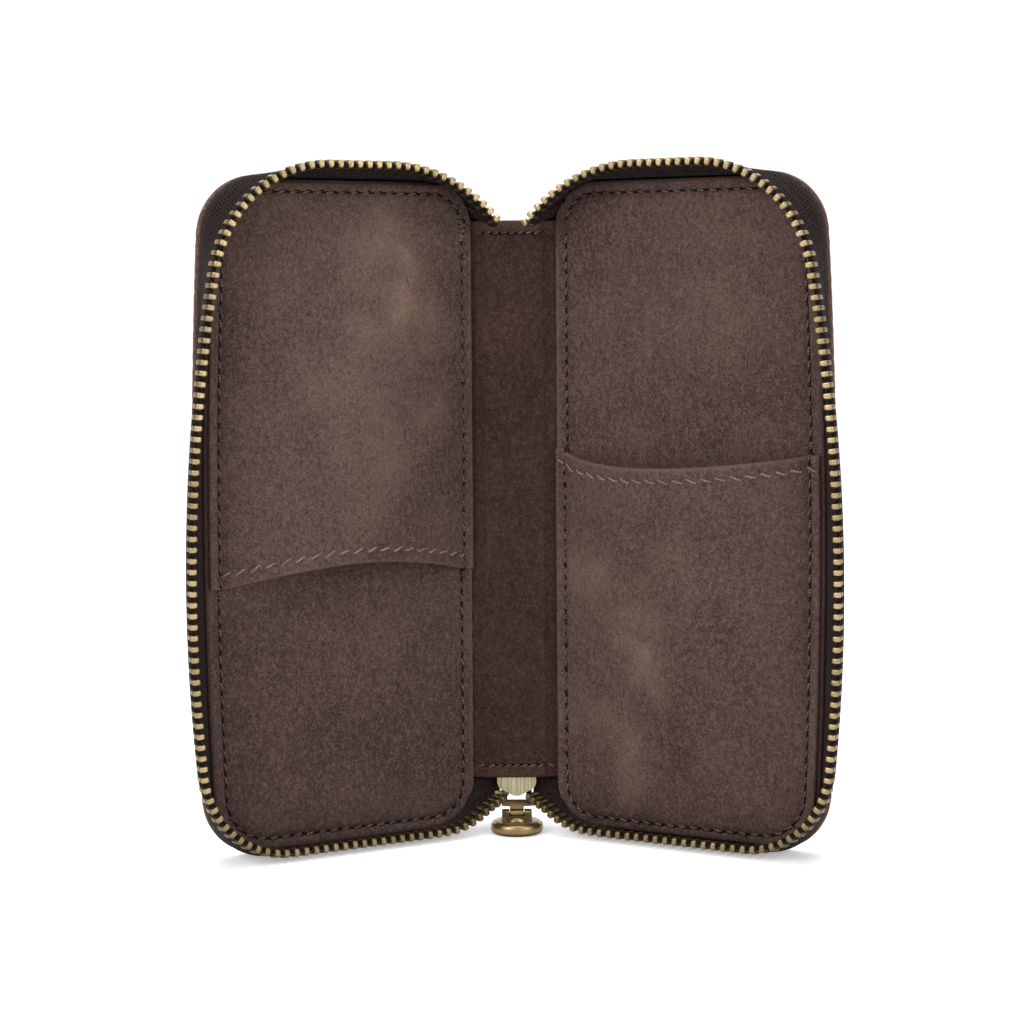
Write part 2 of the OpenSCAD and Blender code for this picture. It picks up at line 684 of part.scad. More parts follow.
// The pull in its own plane: bar at the origin, stem and eye along X, width along Y
frame_l = 5.8;
frame_bar = 1.3;
frame_hole_w = 4.4;
module pull_link_shape() {
    side_t = (frame_w - frame_hole_w) / 2;
    rotate([90, 0, 0]) cylinder(r = bar_r, h = frame_w - side_t, center = true);
    for (y = [-1, 1]) translate([0, y * (frame_w - side_t) / 2 - side_t / 2, -link_t / 2])
        cube([frame_l, side_t, link_t]);
    for (y = [-1, 1]) translate([0, y * (frame_w - side_t) / 2, 0])
        rotate([90, 0, 0]) cylinder(r = bar_r, h = side_t, center = true);
    translate([frame_l - frame_bar, -frame_w / 2, -link_t / 2]) cube([frame_bar, frame_w, link_t]);
    difference() {
        union() {
            translate([frame_l - frame_bar / 2, -stem_w / 2, -link_t / 2])
                cube([link_l - frame_l + frame_bar / 2, stem_w, link_t]);
            translate([link_l, 0, 0]) rotate([90, 0, 0]) cylinder(r = eye_r, h = stem_w, center = true);
        }
        translate([link_l, 0, 0]) rotate([90, 0, 0])
            cylinder(r = pin_r + fit_gap, h = stem_w + past, center = true);
    }
}
module link_place() {
    translate([0, bar_y, bar_z]) rotate([0, 0, -90]) rotate([0, link_slope, 0]) children();
}

// The ring lies flat, with two ears on its rim that hold the pin
ear_gap = stem_w / 2 + 1.5 * slip;
ear_t = 1.7;
ear_reach = 2.2;
ear_foot = 0.7;
ear_head = 0.5;
ring_edge_share = 0.42;
module ring_body() {
    edge_r = ring_t * ring_edge_share;
    difference() {
        union() {
            translate([0, ring_y, 0]) rotate_extrude($fn = 96) union() {
                translate([ring_hole_r + edge_r, 0]) square([ring_r - ring_hole_r - 2 * edge_r, ring_t]);
                translate([ring_hole_r, edge_r]) square([ring_r - ring_hole_r, ring_t - 2 * edge_r]);
                for (x = [ring_hole_r + edge_r, ring_r - edge_r]) for (z = [edge_r, ring_t - edge_r])
                    translate([x, z]) circle(edge_r);
            }
            for (x = [-1, 1]) translate([x * (ear_gap + ear_t / 2), 0, 0]) {
                translate([0, pin_y, pin_z]) rotate([0, 90, 0]) cylinder(r = eye_r, h = ear_t, center = true);
                translate([-ear_t / 2, pin_y - ear_reach, ear_foot])
                    cube([ear_t, ear_reach, pin_z + ear_head - ear_foot]);
            }
        }
        translate([-ear_gap, pin_y - eye_r - free_gap, -past])
            cube([2 * ear_gap, ring_r, pin_z + eye_r + 2 * past]);
        translate([0, pin_y, pin_z]) rotate([0, 90, 0]) cylinder(r = pin_r, h = 2 * ring_r, center = true);
    }
}

module spine_leather() color("#4a2f22") at_spine() difference() {
    spine_layer(0, -leather_t, spine_half, spine_foot, spine_head);
    translate([0, past, 0]) rotate([90, 0, 0]) linear_extrude(leather_t + 2 * past) union() {
        translate([-notch_half, spine_foot - past])
            square([2 * notch_half, notch_top - notch_half - spine_foot + past]);
        translate([0, notch_top - notch_half]) circle(notch_half);
    }
}
module spine_board() color("#8a8072") at_spine()
    spine_layer(-leather_t, -leather_t - board_t, spine_filling_half, hollow_top, spine_pad_head);
module spine_padding() color("#6f6a62") at_spine()
    spine_layer(-leather_t - board_t, spine_lining_y, spine_filling_half, hollow_top, spine_pad_head);
module spine_lining() color("#4b3a35") at_spine()
    spine_layer(spine_lining_y, spine_front_y, spine_lining_half, spine_foot, spine_head);

module cover_leather() layer(0, leather_t, outline(layer_edge(0, 0, inner_r)));
module cover_board() layer(board_n, pad_n, outline(layer_edge(board_inset, board_side, board_turn)));
module cover_padding() layer(pad_n, lining_n, outline(layer_edge(pad_inset, pad_side, pad_turn)));
module cover_lining() layer(lining_n, face_n, outline(layer_edge(lining_inset, lining_side, lining_turn)));

module left_cover_leather() color("#4a2f22") on_left() cover_leather();
module left_cover_board() color("#8a8072") on_left() cover_board();
module left_cover_padding() color("#6f6a62") on_left() cover_padding();
module left_cover_lining() color("#4b3a35") on_left() cover_lining();
module right_cover_leather() color("#4a2f22") on_right() cover_leather();
module right_cover_board() color("#8a8072") on_right() cover_board();
module right_cover_padding() color("#6f6a62") on_right() cover_padding();
module right_cover_lining() color("#4b3a35") on_right() cover_lining();

module left_pocket() color("#52403a") on_left() pocket(left_mouth, case_h - pocket_inset);
module right_pocket() color("#52403a") on_right() pocket(right_mouth, pocket_inset);

module left_zip_tape() color("#2c2729") on_left() tape_wall();
module right_zip_tape() color("#2c2729") on_right() tape_wall();
module left_zip_teeth() color("#8d7444") on_left() tooth_row(row_margin);
module right_zip_teeth() color("#8d7444") on_right() tooth_row(row_margin + pitch / 2);

// A loose end's tape starts a little way past the wall, at this share of its first stretch
top_start = 0.14;
bottom_start = 0.05;
top_steps = 8;
bottom_steps = 24;
module tape_top_end() end_tape(top_line, top_hem, top_turn, top_start, top_steps);
module tape_bottom_end() end_tape(bottom_line, bottom_hem, bottom_turn, bottom_start, bottom_steps);
module left_tape_top_end() color("#2c2729") at_spine() tape_top_end();
module right_tape_top_end() color("#2c2729") at_spine_right() tape_top_end();
module left_tape_bottom_end() color("#2c2729") at_spine() tape_bottom_end();
module right_tape_bottom_end() color("#2c2729") at_spine_right() tape_bottom_end();
module left_top_teeth() color("#8d7444") at_spine() end_teeth(top_line, top_turn, pitch - row_margin, -1);
module right_top_teeth() color("#8d7444") at_spine_right() end_teeth(top_line, top_turn, slip, -1);
module left_bottom_teeth() color("#8d7444") at_spine()
    end_teeth(bottom_line, bottom_turn, row_rest(row_margin), 1);
module right_bottom_teeth() color("#8d7444") at_spine_right()
    end_teeth(bottom_line, bottom_turn, row_rest(row_margin + pitch / 2), 1);

module left_leather_fold() color("#4a2f22") at_spine() leather_fold();
module right_leather_fold() color("#4a2f22") at_spine_right() leather_fold();
module left_lining_fold() color("#4b3a35") at_spine() lining_fold();
module right_lining_fold() color("#4b3a35") at_spine_right() lining_fold();

module slider_body() color("#a98f5c") at_spine() slider();
module slider_bridge() color("#8d7444") at_spine() bridge();
module zip_bottom_stop() color("#8d7444") at_spine()
    translate([-stop_w / 2, slider_mid_y - channel / 2, slider_tail_z + free_gap])
        cube([stop_w, channel, stop_h]);

module pull_link() color("#8d7444") at_spine() link_place() pull_link_shape();
module pull_ring() color("#8d7444") at_spine() ring_body();
module pull_pin() color("#6b5632") at_spine() translate([0, pin_y, pin_z]) rotate([0, 90, 0])
    cylinder(r = pin_r, h = 2 * (ear_gap + ear_t), center = true);

spine_leather();
spine_board();
spine_padding();
spine_lining();
left_cover_leather();
left_cover_board();
left_cover_padding();
left_cover_lining();
right_cover_leather();
right_cover_board();
right_cover_padding();
right_cover_lining();
left_pocket();
right_pocket();
left_zip_tape();
right_zip_tape();
left_zip_teeth();
right_zip_teeth();
left_tape_top_end();
right_tape_top_end();
left_tape_bottom_end();
right_tape_bottom_end();
left_top_teeth();
right_top_teeth();
left_bottom_teeth();
right_bottom_teeth();
left_leather_fold();
right_leather_fold();
left_lining_fold();
right_lining_fold();
slider_body();
slider_bridge();
zip_bottom_stop();
pull_link();
pull_ring();
pull_pin();
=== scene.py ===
# %% [markdown]
# # A zip-round travel case
# The case stands open like a book. Two stiff covers are joined by a soft spine. Each cover holds up a
# wall of dark zip tape with a row of brass teeth, and is lined with suede. The solids already have the
# right sizes and joints. This lesson dresses them: leather, suede, woven tape, thread and brass, each
# made as a fine mesh from the same curves as the solids. Most of them ride on the body that carries
# them; the folds and the loose ends of the zip stay where they are made.

import math

import bpy
import numpy as np
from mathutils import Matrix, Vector
from mathutils.kdtree import KDTree


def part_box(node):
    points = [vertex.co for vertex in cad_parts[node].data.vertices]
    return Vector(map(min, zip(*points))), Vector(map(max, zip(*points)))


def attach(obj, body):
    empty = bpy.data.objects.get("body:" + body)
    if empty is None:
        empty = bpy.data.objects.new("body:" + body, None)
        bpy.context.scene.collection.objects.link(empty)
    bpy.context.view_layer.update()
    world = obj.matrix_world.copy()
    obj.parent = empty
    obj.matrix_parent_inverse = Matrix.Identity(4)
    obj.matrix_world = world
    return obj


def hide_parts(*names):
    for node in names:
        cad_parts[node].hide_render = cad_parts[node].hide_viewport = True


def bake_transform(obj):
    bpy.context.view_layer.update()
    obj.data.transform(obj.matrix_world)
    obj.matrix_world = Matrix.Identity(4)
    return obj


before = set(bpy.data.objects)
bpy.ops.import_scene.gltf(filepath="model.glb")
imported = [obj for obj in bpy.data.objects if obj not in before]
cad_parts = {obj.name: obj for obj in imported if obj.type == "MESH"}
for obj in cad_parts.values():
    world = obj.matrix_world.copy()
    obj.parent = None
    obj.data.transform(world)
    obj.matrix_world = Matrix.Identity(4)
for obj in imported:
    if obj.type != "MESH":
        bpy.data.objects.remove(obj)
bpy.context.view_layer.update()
MM = 0.001

# %% [markdown]
# ## Places on the case
# Every length here is in millimetres. The lengths are those of the solids, but the suede reaches a
# little nearer to the tape than its solid does. A place on a cover is given by u, outwards from the
# spine, n, up from the back of the leather, and z, up from the ground. The left cover is built, and the
# right one is its mirror image, so one function turns u, n and z into a point.

# %% The case's own values
CASE_H, COVER_W, OPEN = 150.0, 71.0, math.radians(30)
BACK_HALF, SPINE_HALF, SPINE_LINING_HALF = 9.0, 7.2, 6.7
FOOT, HEAD = 11.8, 140.0
INNER_EDGE, INNER_R, CORNER_R, SIDE_BOW = 3.5, 11.0, 14.0, 1.5
LEATHER_T, LINING_N, FACE_N = 1.4, 4.4, 5.4
LINING_INSET, LINING_SIDE, LINING_TURN = 1.1, 0.4, 10.0
SLIDER_MID_Y, SPINE_BACK_Y, SPINE_FRONT_Y = -3.6, -5.8, -6.8
ORIGIN_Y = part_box("spine_leather")[1].y / MM


def placed(u, n, z):
    """Points on the left cover, as rows of x, y, z measured from the back of the spine."""
    u, n, z = np.broadcast_arrays(u, n, z)
    x = -BACK_HALF - u * math.cos(OPEN) + n * math.sin(OPEN)
    return np.stack([x, -u * math.sin(OPEN) - n * math.cos(OPEN), z * 1.0], -1)


SIDES = {"left": 1, "right": -1}
print("the back of the spine is at y =", round(ORIGIN_Y, 3), "mm")

# %% [markdown]
# ## Edges as walks
# The outline of a cover, its lining, its seam and its row of teeth are all the same kind of line: from
# the spine along the top, round a corner, down the bowed side and back along the bottom. A small class
# holds such a line as straight and round stretches, and walks any distance along it.


# %% A line of stretches that can be walked
class Edge:
    """A cover's edge: a list of stretches, each a straight line or an arc."""

    def __init__(self, reach, foot, head, mid, bow_r, corners, upper, lower):
        high_r, low_r = corners
        high_u, high = self.corner_place(reach, bow_r, high_r, head - high_r - mid)
        low_u, low = self.corner_place(reach, bow_r, low_r, mid - foot - low_r)
        self.stretches = []
        if upper[2]:
            self.arc((upper[0], head - upper[1]), upper[1], 90 + upper[2], 90)
        self.line((upper[0], head), (high_u, head))
        self.arc((high_u, head - high_r), high_r, 90, high)
        self.arc((reach - bow_r, mid), bow_r, high, -low)
        self.arc((low_u, foot + low_r), low_r, -low, -90)
        self.line((low_u, foot), (lower[0], foot))
        if lower[2]:
            self.arc((lower[0], foot + lower[1]), lower[1], -90, -90 - lower[2])
        self.ends = np.cumsum([s[0] for s in self.stretches])
        self.length = self.ends[-1]

    def corner_place(self, reach, bow_r, r, rise):
        """Where a round corner touches the bow of the long side, and how the side leans there."""
        out = math.sqrt((bow_r - r) ** 2 - rise**2)
        return reach - bow_r + out, math.degrees(math.atan2(rise, out))

    def line(self, p, q):
        self.stretches.append((math.dist(p, q), True, np.array(p), np.array(q)))

    def arc(self, centre, r, a, b):
        length = r * math.radians(abs(b - a))
        self.stretches.append((length, False, np.array(centre), r, math.radians(a), math.radians(b)))

    def on(self, k, f):
        """Points at the shares f of stretch k."""
        s, f = self.stretches[k], np.asarray(f)[:, None]
        if s[1]:
            return s[2] + f * (s[3] - s[2])
        a = s[4] + f * (s[5] - s[4])
        return s[2] + s[3] * np.concatenate([np.cos(a), np.sin(a)], 1)

    def walk(self, distances):
        """Points at the given distances along the whole edge."""
        d = np.clip(np.asarray(distances, float), 0, self.length)
        k = np.minimum(np.searchsorted(self.ends, d), len(self.ends) - 1)
        out = np.zeros((len(d), 2))
        for i in set(k.tolist()):
            start = self.ends[i] - self.stretches[i][0]
            out[k == i] = self.on(i, (d[k == i] - start) / self.stretches[i][0])
        return out

    def points(self, step):
        return self.walk(np.linspace(0, self.length, int(self.length / step) + 2))


def bow_radius(half, sag):
    return (half * half + sag * sag) / (2 * sag)


COVER_BOW = bow_radius(CASE_H / 2 - CORNER_R, SIDE_BOW)


def cover_edge(inset, upper, lower):
    """The edge of a cover, moved in by inset, with the bends next to the spine as given."""
    r, mid = CORNER_R - inset, CASE_H / 2
    return Edge(COVER_W - inset, inset, CASE_H - inset, mid, COVER_BOW - inset, (r, r), upper, lower)


def layer_edge(inset, side, turn):
    """The edge of a layer of a cover, as in the solids."""
    corner = (INNER_EDGE + side + turn, turn, 90)
    return cover_edge(inset, corner, corner)


leather_edge = layer_edge(0, 0, INNER_R)
lining_edge = layer_edge(LINING_INSET, LINING_SIDE, LINING_TURN)
print("edge of a cover:", round(leather_edge.length, 1), "mm")

# %% [markdown]
# ## Grids become meshes
# Sheets of leather and suede are regular grids of points with a front and a back. Working on whole
# arrays of points makes it easy to press a seam in, round an edge or let cloth swell. The grid is closed
# at its rim, so that every piece is a real solid. Each point also keeps how far along and across the
# cloth it lies, and how pale it is painted there, for rubbing and as a painted highlight along edges. The
# weave and the nap read that instead of an unwrapped texture.


# %% Make a mesh from arrays
def make_piece(name, points, faces, finish, side=1, lay=None, sharp=50):
    """A mesh object from points in millimetres measured from the back of the spine."""
    points = np.array(points, float) * [side, 1, 1] + [0, ORIGIN_Y, 0]
    faces = [tuple(f) for f in faces] if side > 0 else [tuple(f)[::-1] for f in faces]
    mesh = bpy.data.meshes.new(name)
    mesh.from_pydata((points * MM).tolist(), [], faces)
    mesh.polygons.foreach_set("use_smooth", [True] * len(mesh.polygons))
    mesh.set_sharp_from_angle(angle=math.radians(sharp))
    if lay is not None:
        store = mesh.attributes.new("lay", "FLOAT_VECTOR", "POINT")
        lay = np.asarray(lay, float)
        spare = np.zeros((len(points), 3 - lay.shape[1]))
        store.data.foreach_set("vector", np.concatenate([lay, spare], 1).ravel())
    mesh.materials.append(finish)
    piece = bpy.data.objects.new(name, mesh)
    bpy.context.scene.collection.objects.link(piece)
    return piece


def closed_faces(rows, cols):
    """Faces of a front grid, a back grid and the rim that joins them."""
    index = np.arange(rows * cols).reshape(rows, cols)
    a, b, c, d = index[:-1, :-1], index[:-1, 1:], index[1:, 1:], index[1:, :-1]
    front = np.stack([a, b, c, d], -1).reshape(-1, 4)
    back = front[:, ::-1] + rows * cols
    loop = np.concatenate([index[0, :-1], index[:-1, -1], index[-1, :0:-1], index[:0:-1, 0]])
    after = np.roll(loop, -1)
    rim = np.stack([after, loop, loop + rows * cols, after + rows * cols], -1)
    return np.concatenate([front, back, rim]).tolist()


def grid_lay(grid):
    """How far each point of a grid lies along its rows and across them, in millimetres."""
    along = np.linalg.norm(np.diff(grid, axis=1), axis=2).mean(0)
    across = np.linalg.norm(np.diff(grid, axis=0), axis=2).mean(1)
    u, v = np.concatenate([[0], np.cumsum(along)]), np.concatenate([[0], np.cumsum(across)])
    return np.stack(np.meshgrid(u, v), -1)


def make_sheet(name, front, back, finish, side=1, lay=None, rub_and_highlight=None):
    """A closed piece between two grids of points; front is the side that faces the reader."""
    rows, cols = front.shape[:2]
    points = np.concatenate([front.reshape(-1, 3), back.reshape(-1, 3)])
    if lay is None:
        lay = grid_lay((front + back) / 2)
    if rub_and_highlight is not None:
        lay = np.concatenate([lay, rub_and_highlight[..., None]], 2)
    lay = np.concatenate([lay.reshape(rows * cols, -1)] * 2)
    return make_piece(name, points, closed_faces(rows, cols), finish, side, lay)


def normals(grid):
    """The direction square to a grid at each of its points."""
    n = np.cross(np.gradient(grid, axis=1), np.gradient(grid, axis=0))
    return n / np.maximum(np.linalg.norm(n, axis=2, keepdims=True), 1e-9)


def thickened(grid, t):
    """Front and back grids on both sides of a middle one, a thickness t apart."""
    n = normals(grid)
    return grid + n * t / 2, grid - n * t / 2


print("grid helpers are ready")

# %% [markdown]
# ## Finding the way to an edge
# Padding swells, leather is turned over and a seam pulls the suede down, and each of these depends only
# on how far a point is from a line. A tree of points along the line answers that quickly.


# %% Distance from a grid to a line
def distance_to(line_points, u, z):
    """How far each place (u, z) is from the nearest point of a line."""
    tree = KDTree(len(line_points))
    for i, p in enumerate(line_points):
        tree.insert((p[0], p[1], 0), i)
    tree.balance()
    flat = [tree.find((a, b, 0))[2] for a, b in zip(u.ravel().tolist(), z.ravel().tolist())]
    return np.array(flat).reshape(u.shape)


def rounded(d, r):
    """Drop of a rounded edge of radius r at a distance d from it."""
    f = np.clip(d / r, 0, 1)
    return r * (1 - np.sqrt(np.clip(1 - (1 - f) ** 2, 0, 1)))


def corner_cut(gap, r):
    """How far an edge has moved in at a height gap below the end of a corner of radius r."""
    gap = np.clip(gap, 0, r)
    return r - np.sqrt(np.maximum(0, r * r - (r - gap) ** 2))


def softness(u, z, seed=0.0):
    """A slow, gentle unevenness between -1 and 1, the same every time."""
    a = np.sin(u / 9.1 + 1.3 + seed) * np.cos(z / 13.7 + 0.4 * seed)
    b = np.sin((u + 0.7 * z) / 17.3 + 2.1 * seed) * np.sin((z - 0.4 * u) / 8.3 + seed)
    return 0.5 * a + 0.5 * b


# Places beside an edge where the points of a grid lie close together
FINE = np.array([0, 0.12, 0.3, 0.55, 0.9, 1.3, 1.7, 2.1, 2.4, 2.6, 2.8, 3.0, 3.25, 3.6, 4.2, 5.0])
MIDDLE = np.linspace(0, 1, 62)[1:-1]


def row_heights(low, high, r, step):
    """Heights of a panel's rows, close together where its corners of radius r turn."""
    turn = np.linspace(0, math.pi / 2, 26)
    lower, upper = low + r * (1 - np.cos(turn)), high - r * (1 - np.cos(turn))
    between = np.arange(low + r + step, high - r, step)
    return np.unique(np.round(np.concatenate([lower, between, upper]), 4))


def columns(near, wide):
    """Places across each row, close together at both edges."""
    near, wide = near[:, None], wide[:, None]
    squeeze = np.minimum(1, (wide - near) / 2.6 / FINE[-1])
    left, right = near + FINE * squeeze, wide - FINE[::-1] * squeeze
    middle = left[:, -1:] + MIDDLE * (right[:, :1] - left[:, -1:])
    return np.concatenate([left, middle, right], 1)


def far_edge(z, inset):
    """Reach of a cover's layer at each height."""
    bow, corner = COVER_BOW - inset, CORNER_R - inset
    rise, bow_u = CASE_H / 2 - inset - corner, COVER_W - COVER_BOW
    corner_u = bow_u + math.sqrt((bow - corner) ** 2 - rise**2)
    lean = math.atan2(rise, corner_u - bow_u)
    off = np.abs(z - CASE_H / 2)
    on_bow = bow_u + np.sqrt(bow**2 - np.minimum(off, bow) ** 2)
    on_corner = corner_u + np.sqrt(np.maximum(corner**2 - np.maximum(off - rise, 0) ** 2, 0))
    return np.where(off < bow * math.sin(lean), on_bow, on_corner)


def near_edge(z, inset, side, turn):
    """Where a cover's layer starts beside the spine at each height."""
    gap = CASE_H / 2 - inset - np.abs(z - CASE_H / 2)
    return INNER_EDGE + side + corner_cut(gap, turn)


print("rows over a cover:", len(row_heights(0, CASE_H, INNER_R, 1.6)))

# %% [markdown]
# ## Shader maths in plain Python
# A material is a graph of nodes, and long graphs are hard to read. Here one small class stands for a
# socket, and the usual signs add the right node: maths for values, and vector maths for vectors. Colours
# are blended by mix. Everything else comes from one method, node, which takes a node's type, its settings
# and what feeds its sockets.


# %% A socket that can be added and multiplied
class Signal:
    """The output of a node, ready for sums."""

    def __init__(self, paint, socket):
        self.paint, self.socket = paint, socket

    def _with(self, operation, first, second=None):
        vector = any(isinstance(x, Signal) and x.socket.type in ("VECTOR", "RGBA") for x in (first, second))
        kind = "ShaderNodeVectorMath" if vector else "ShaderNodeMath"
        if vector:
            first, second = [(x, x, x) if isinstance(x, (int, float)) else x for x in (first, second)]
        values = {0: first} if second is None else {0: first, 1: second}
        return self.paint.node(kind, dict(operation=operation), values)

    def __add__(self, other):
        return self._with("ADD", self, other)

    __radd__ = __add__

    def __sub__(self, other):
        return self._with("SUBTRACT", self, other)

    def __rsub__(self, other):
        return self._with("SUBTRACT", other, self)

    def __mul__(self, other):
        return self._with("MULTIPLY", self, other)

    __rmul__ = __mul__

    def __truediv__(self, other):
        return self._with("DIVIDE", self, other)

    def __rtruediv__(self, other):
        return self._with("DIVIDE", other, self)

    def sine(self):
        return self._with("SINE", self)

    def size(self):
        return self._with("ABSOLUTE", self)

    def part(self):
        return self._with("FRACT", self)

    def floor(self):
        return self._with("FLOOR", self)

    def at_least(self, other):
        return self._with("MAXIMUM", self, other)

    def at_most(self, other):
        return self._with("MINIMUM", self, other)


class Paint:
    """One material: its nodes, and the few that nearly every finish needs."""

    def __init__(self, name):
        self.material = bpy.data.materials.new(name)
        self.material.use_nodes = True
        self.tree = self.material.node_tree
        self.shader = self.tree.nodes["Principled BSDF"]
        self.place = self.node("ShaderNodeTexCoord", {}, {}, "Object")

    def node(self, kind, settings, inputs, output=0):
        """Adds a node, sets its settings, fills its sockets and returns one output."""
        made = self.tree.nodes.new(kind)
        for key, value in settings.items():
            setattr(made, key, value)
        for key, value in inputs.items():
            socket = made.inputs[key]
            if isinstance(value, Signal):
                self.tree.links.new(value.socket, socket)
            else:
                socket.default_value = value
        return Signal(self, made.outputs[output])

    def noise(self, scale, detail, roughness=0.55, at=None, distortion=0.0):
        inputs = {"Vector": at or self.place, "Scale": scale, "Detail": detail}
        inputs.update({"Roughness": roughness, "Distortion": distortion})
        return self.node("ShaderNodeTexNoise", {}, inputs)

    def smooth(self, value, low, high):
        """0 below low, 1 above high and a soft step between them."""
        inputs = {"Value": value, "From Min": low, "From Max": high}
        return self.node("ShaderNodeMapRange", dict(interpolation_type="SMOOTHSTEP"), inputs)

    def warped(self, amount, scale):
        """The place with each point pushed about by slow noise, to make even shapes uneven."""
        inputs = {"Vector": self.place, "Scale": scale, "Detail": 3.0, "Roughness": 0.6}
        push = self.node("ShaderNodeTexNoise", {}, inputs, 1)
        return self.place + (push - 0.5) * amount

    def mix(self, share, a, b):
        """A colour between a and b; colours are written as red, green, blue from 0 to 255."""
        a, b = [x if isinstance(x, Signal) else shade(*x) for x in (a, b)]
        return self.node("ShaderNodeMix", dict(data_type="RGBA"), {0: share, 6: a, 7: b}, 2)

    def coats(self, colour, *coats):
        """Lays coats over a colour. A coat is where it lies, how strong it is and its own colour."""
        for where, strength, tint in coats:
            colour = self.mix(where * strength, colour, tint)
        return colour

    def cloth(self, axis):
        """The lay of the cloth here: axis 0 is how far along it lies (on teeth, how bright they are painted),
        1 how far across, 2 how pale it is painted, for rubbing and as a painted highlight.
        """
        lay = self.node("ShaderNodeAttribute", dict(attribute_name="lay"), {}, "Vector")
        return self.node("ShaderNodeSeparateXYZ", {}, {0: lay}, axis)

    def open_air(self, reach, low, high):
        """0 in a corner and 1 where nothing stands within reach."""
        shut = self.node("ShaderNodeAmbientOcclusion", dict(samples=6), {"Distance": reach}, "AO")
        return self.smooth(shut, low, high)

    def stretched(self, x, y, z):
        """The place with its axes scaled; a small scale draws a pattern out along that axis."""
        return self.place * (x, y, z)

    def finish(self, height=None, depth=0.0002, strength=1.0, **sockets):
        """Links colours and values to the shader by name and returns the material."""
        if height is not None:
            inputs = {"Height": height, "Distance": depth, "Strength": strength}
            sockets["Normal"] = self.node("ShaderNodeBump", {}, inputs)
        for name, value in sockets.items():
            socket = self.shader.inputs[name.replace("_", " ")]
            if isinstance(value, Signal):
                self.tree.links.new(value.socket, socket)
            else:
                socket.default_value = value
        return self.material


def linear(value):
    value /= 255
    return value / 12.92 if value <= 0.04045 else ((value + 0.055) / 1.055) ** 2.4


def shade(red, green, blue):
    return (linear(red), linear(green), linear(blue), 1.0)


print("paint is ready")

# %% [markdown]
# ## Suede
# The lining is leather with its nap side up: short fibres that scatter light, so it has no highlight,
# a soft sheen at grazing angles, and cloudy patches where the nap lies another way or has been rubbed
# pale. The patches come from slow noise, and from a few rubbed places that are listed.


# %% Suede with a nap and rubbed patches
def rubbed_patches(paint, patches):
    """How much a place is rubbed: the sum of its patches, each strongest in its middle."""
    rubbed, place = 0.0, paint.warped(0.024, 55)
    for centre, reach, weight in patches:
        away = paint.node("ShaderNodeVectorMath", dict(operation="DISTANCE"), {0: place, 1: centre}, 1)
        rubbed = paint.smooth(away, reach, 0.0) * weight + rubbed
    return rubbed.at_most(1.0)


def suede(name, tone, patches=()):
    """Suede, its colours darkened to a tone: soft clouds, brushed fibres, fuzz and the nap itself."""
    paint = Paint(name)

    def dyed(*colour):
        return [channel * share for channel, share in zip(colour, tone)]

    cloud = paint.smooth(paint.noise(17, 3, 0.55, distortion=0.4), 0.36, 0.66)
    olive = paint.smooth(paint.noise(48, 4, 0.6, distortion=0.3), 0.46, 0.72)
    plum = paint.smooth(paint.noise(31, 3, 0.55, at=paint.stretched(1.3, 1, 1)), 0.48, 0.7)
    brushed = paint.noise(150, 4, 0.68, at=paint.stretched(1, 1, 0.7))
    fuzz = paint.noise(1000, 3, 0.75, at=paint.stretched(1, 1, 0.8))
    nap = paint.noise(2300, 3, 0.75)
    colour = paint.coats(
        paint.mix(cloud, dyed(70, 55, 50), dyed(90, 73, 67)),
        (olive, 0.4, dyed(102, 83, 70)),
        (plum, 0.35, dyed(94, 72, 71)),
        (paint.smooth(brushed, 0.46, 0.7), 0.28, dyed(104, 83, 79)),
        (paint.smooth(brushed, 0.5, 0.28), 0.28, dyed(58, 45, 42)),
        (paint.smooth(fuzz, 0.51, 0.63), 0.5, dyed(114, 93, 87)),
        (paint.smooth(fuzz, 0.48, 0.36), 0.5, dyed(48, 37, 34)),
    )
    if patches:
        mottle = paint.smooth(paint.noise(70, 5, 0.7, distortion=0.4), 0.3, 0.7)
        pale = rubbed_patches(paint, patches) * (0.35 + mottle * 0.75)
        colour = paint.mix(pale, colour, (134, 111, 98))
    colour = paint.coats(
        colour,
        # Paler where the lay says so: rubbing and a painted highlight along edges.
        (paint.cloth(2), 0.8, dyed(118, 96, 90)),
        (paint.smooth(nap, 0.5, 0.34), 0.5, (38, 29, 26)),
        (paint.smooth(nap, 0.51, 0.66), 0.42, dyed(136, 114, 108)),
    )
    height, rough = nap * 0.6 + brushed * 0.4, 0.88 + brushed * 0.1
    paint.shader.inputs["Sheen Tint"].default_value = shade(205, 180, 165)
    sockets = dict(Sheen_Weight=0.12, Sheen_Roughness=0.5, Specular_IOR_Level=0.1)
    return paint.finish(height, 0.0003, 0.55, Base_Color=colour, Roughness=rough, **sockets)


PATCH_N = 8


def spot(side, u, z, reach, weight):
    """A rubbed patch: its middle on a cover as a point in metres, its reach and its strength."""
    x, y, up = placed(u, PATCH_N, z)
    return (SIDES[side] * x * MM, (y + ORIGIN_Y) * MM, up * MM), reach * MM, weight


# Each patch by its u, z, reach and strength
left_rubs = [(30, 134, 14, 0.5), (18, 133, 11, 0.5), (20, 120, 14, 0.7), (30, 116, 13, 0.5)]
left_rubs += [(15, 98, 11, 0.3), (38, 103, 20, 0.3), (30, 84, 18, 0.35)]
right_rubs = [(29, 44, 13, 0.6), (32, 34, 11, 0.5), (20, 52, 18, 0.25), (15, 27, 16, 0.4)]
right_rubs += [(23, 16, 15, 0.35), (38, 62, 15, 0.3), (12, 62, 12, 0.3), (50, 118, 18, 0.25)]
left_patches = [spot("left", *rub_and_highlight) for rub_and_highlight in left_rubs]
right_patches = [spot("right", *rub_and_highlight) for rub_and_highlight in right_rubs]
suede_left = suede("suede_left", (0.94, 0.93, 0.94), left_patches)
suede_right = suede("suede_right", (0.94, 0.92, 0.93), right_patches)
suede_plain = suede("suede_plain", (0.7, 0.65, 0.63))
print("suede finishes:", suede_left.name, suede_right.name)
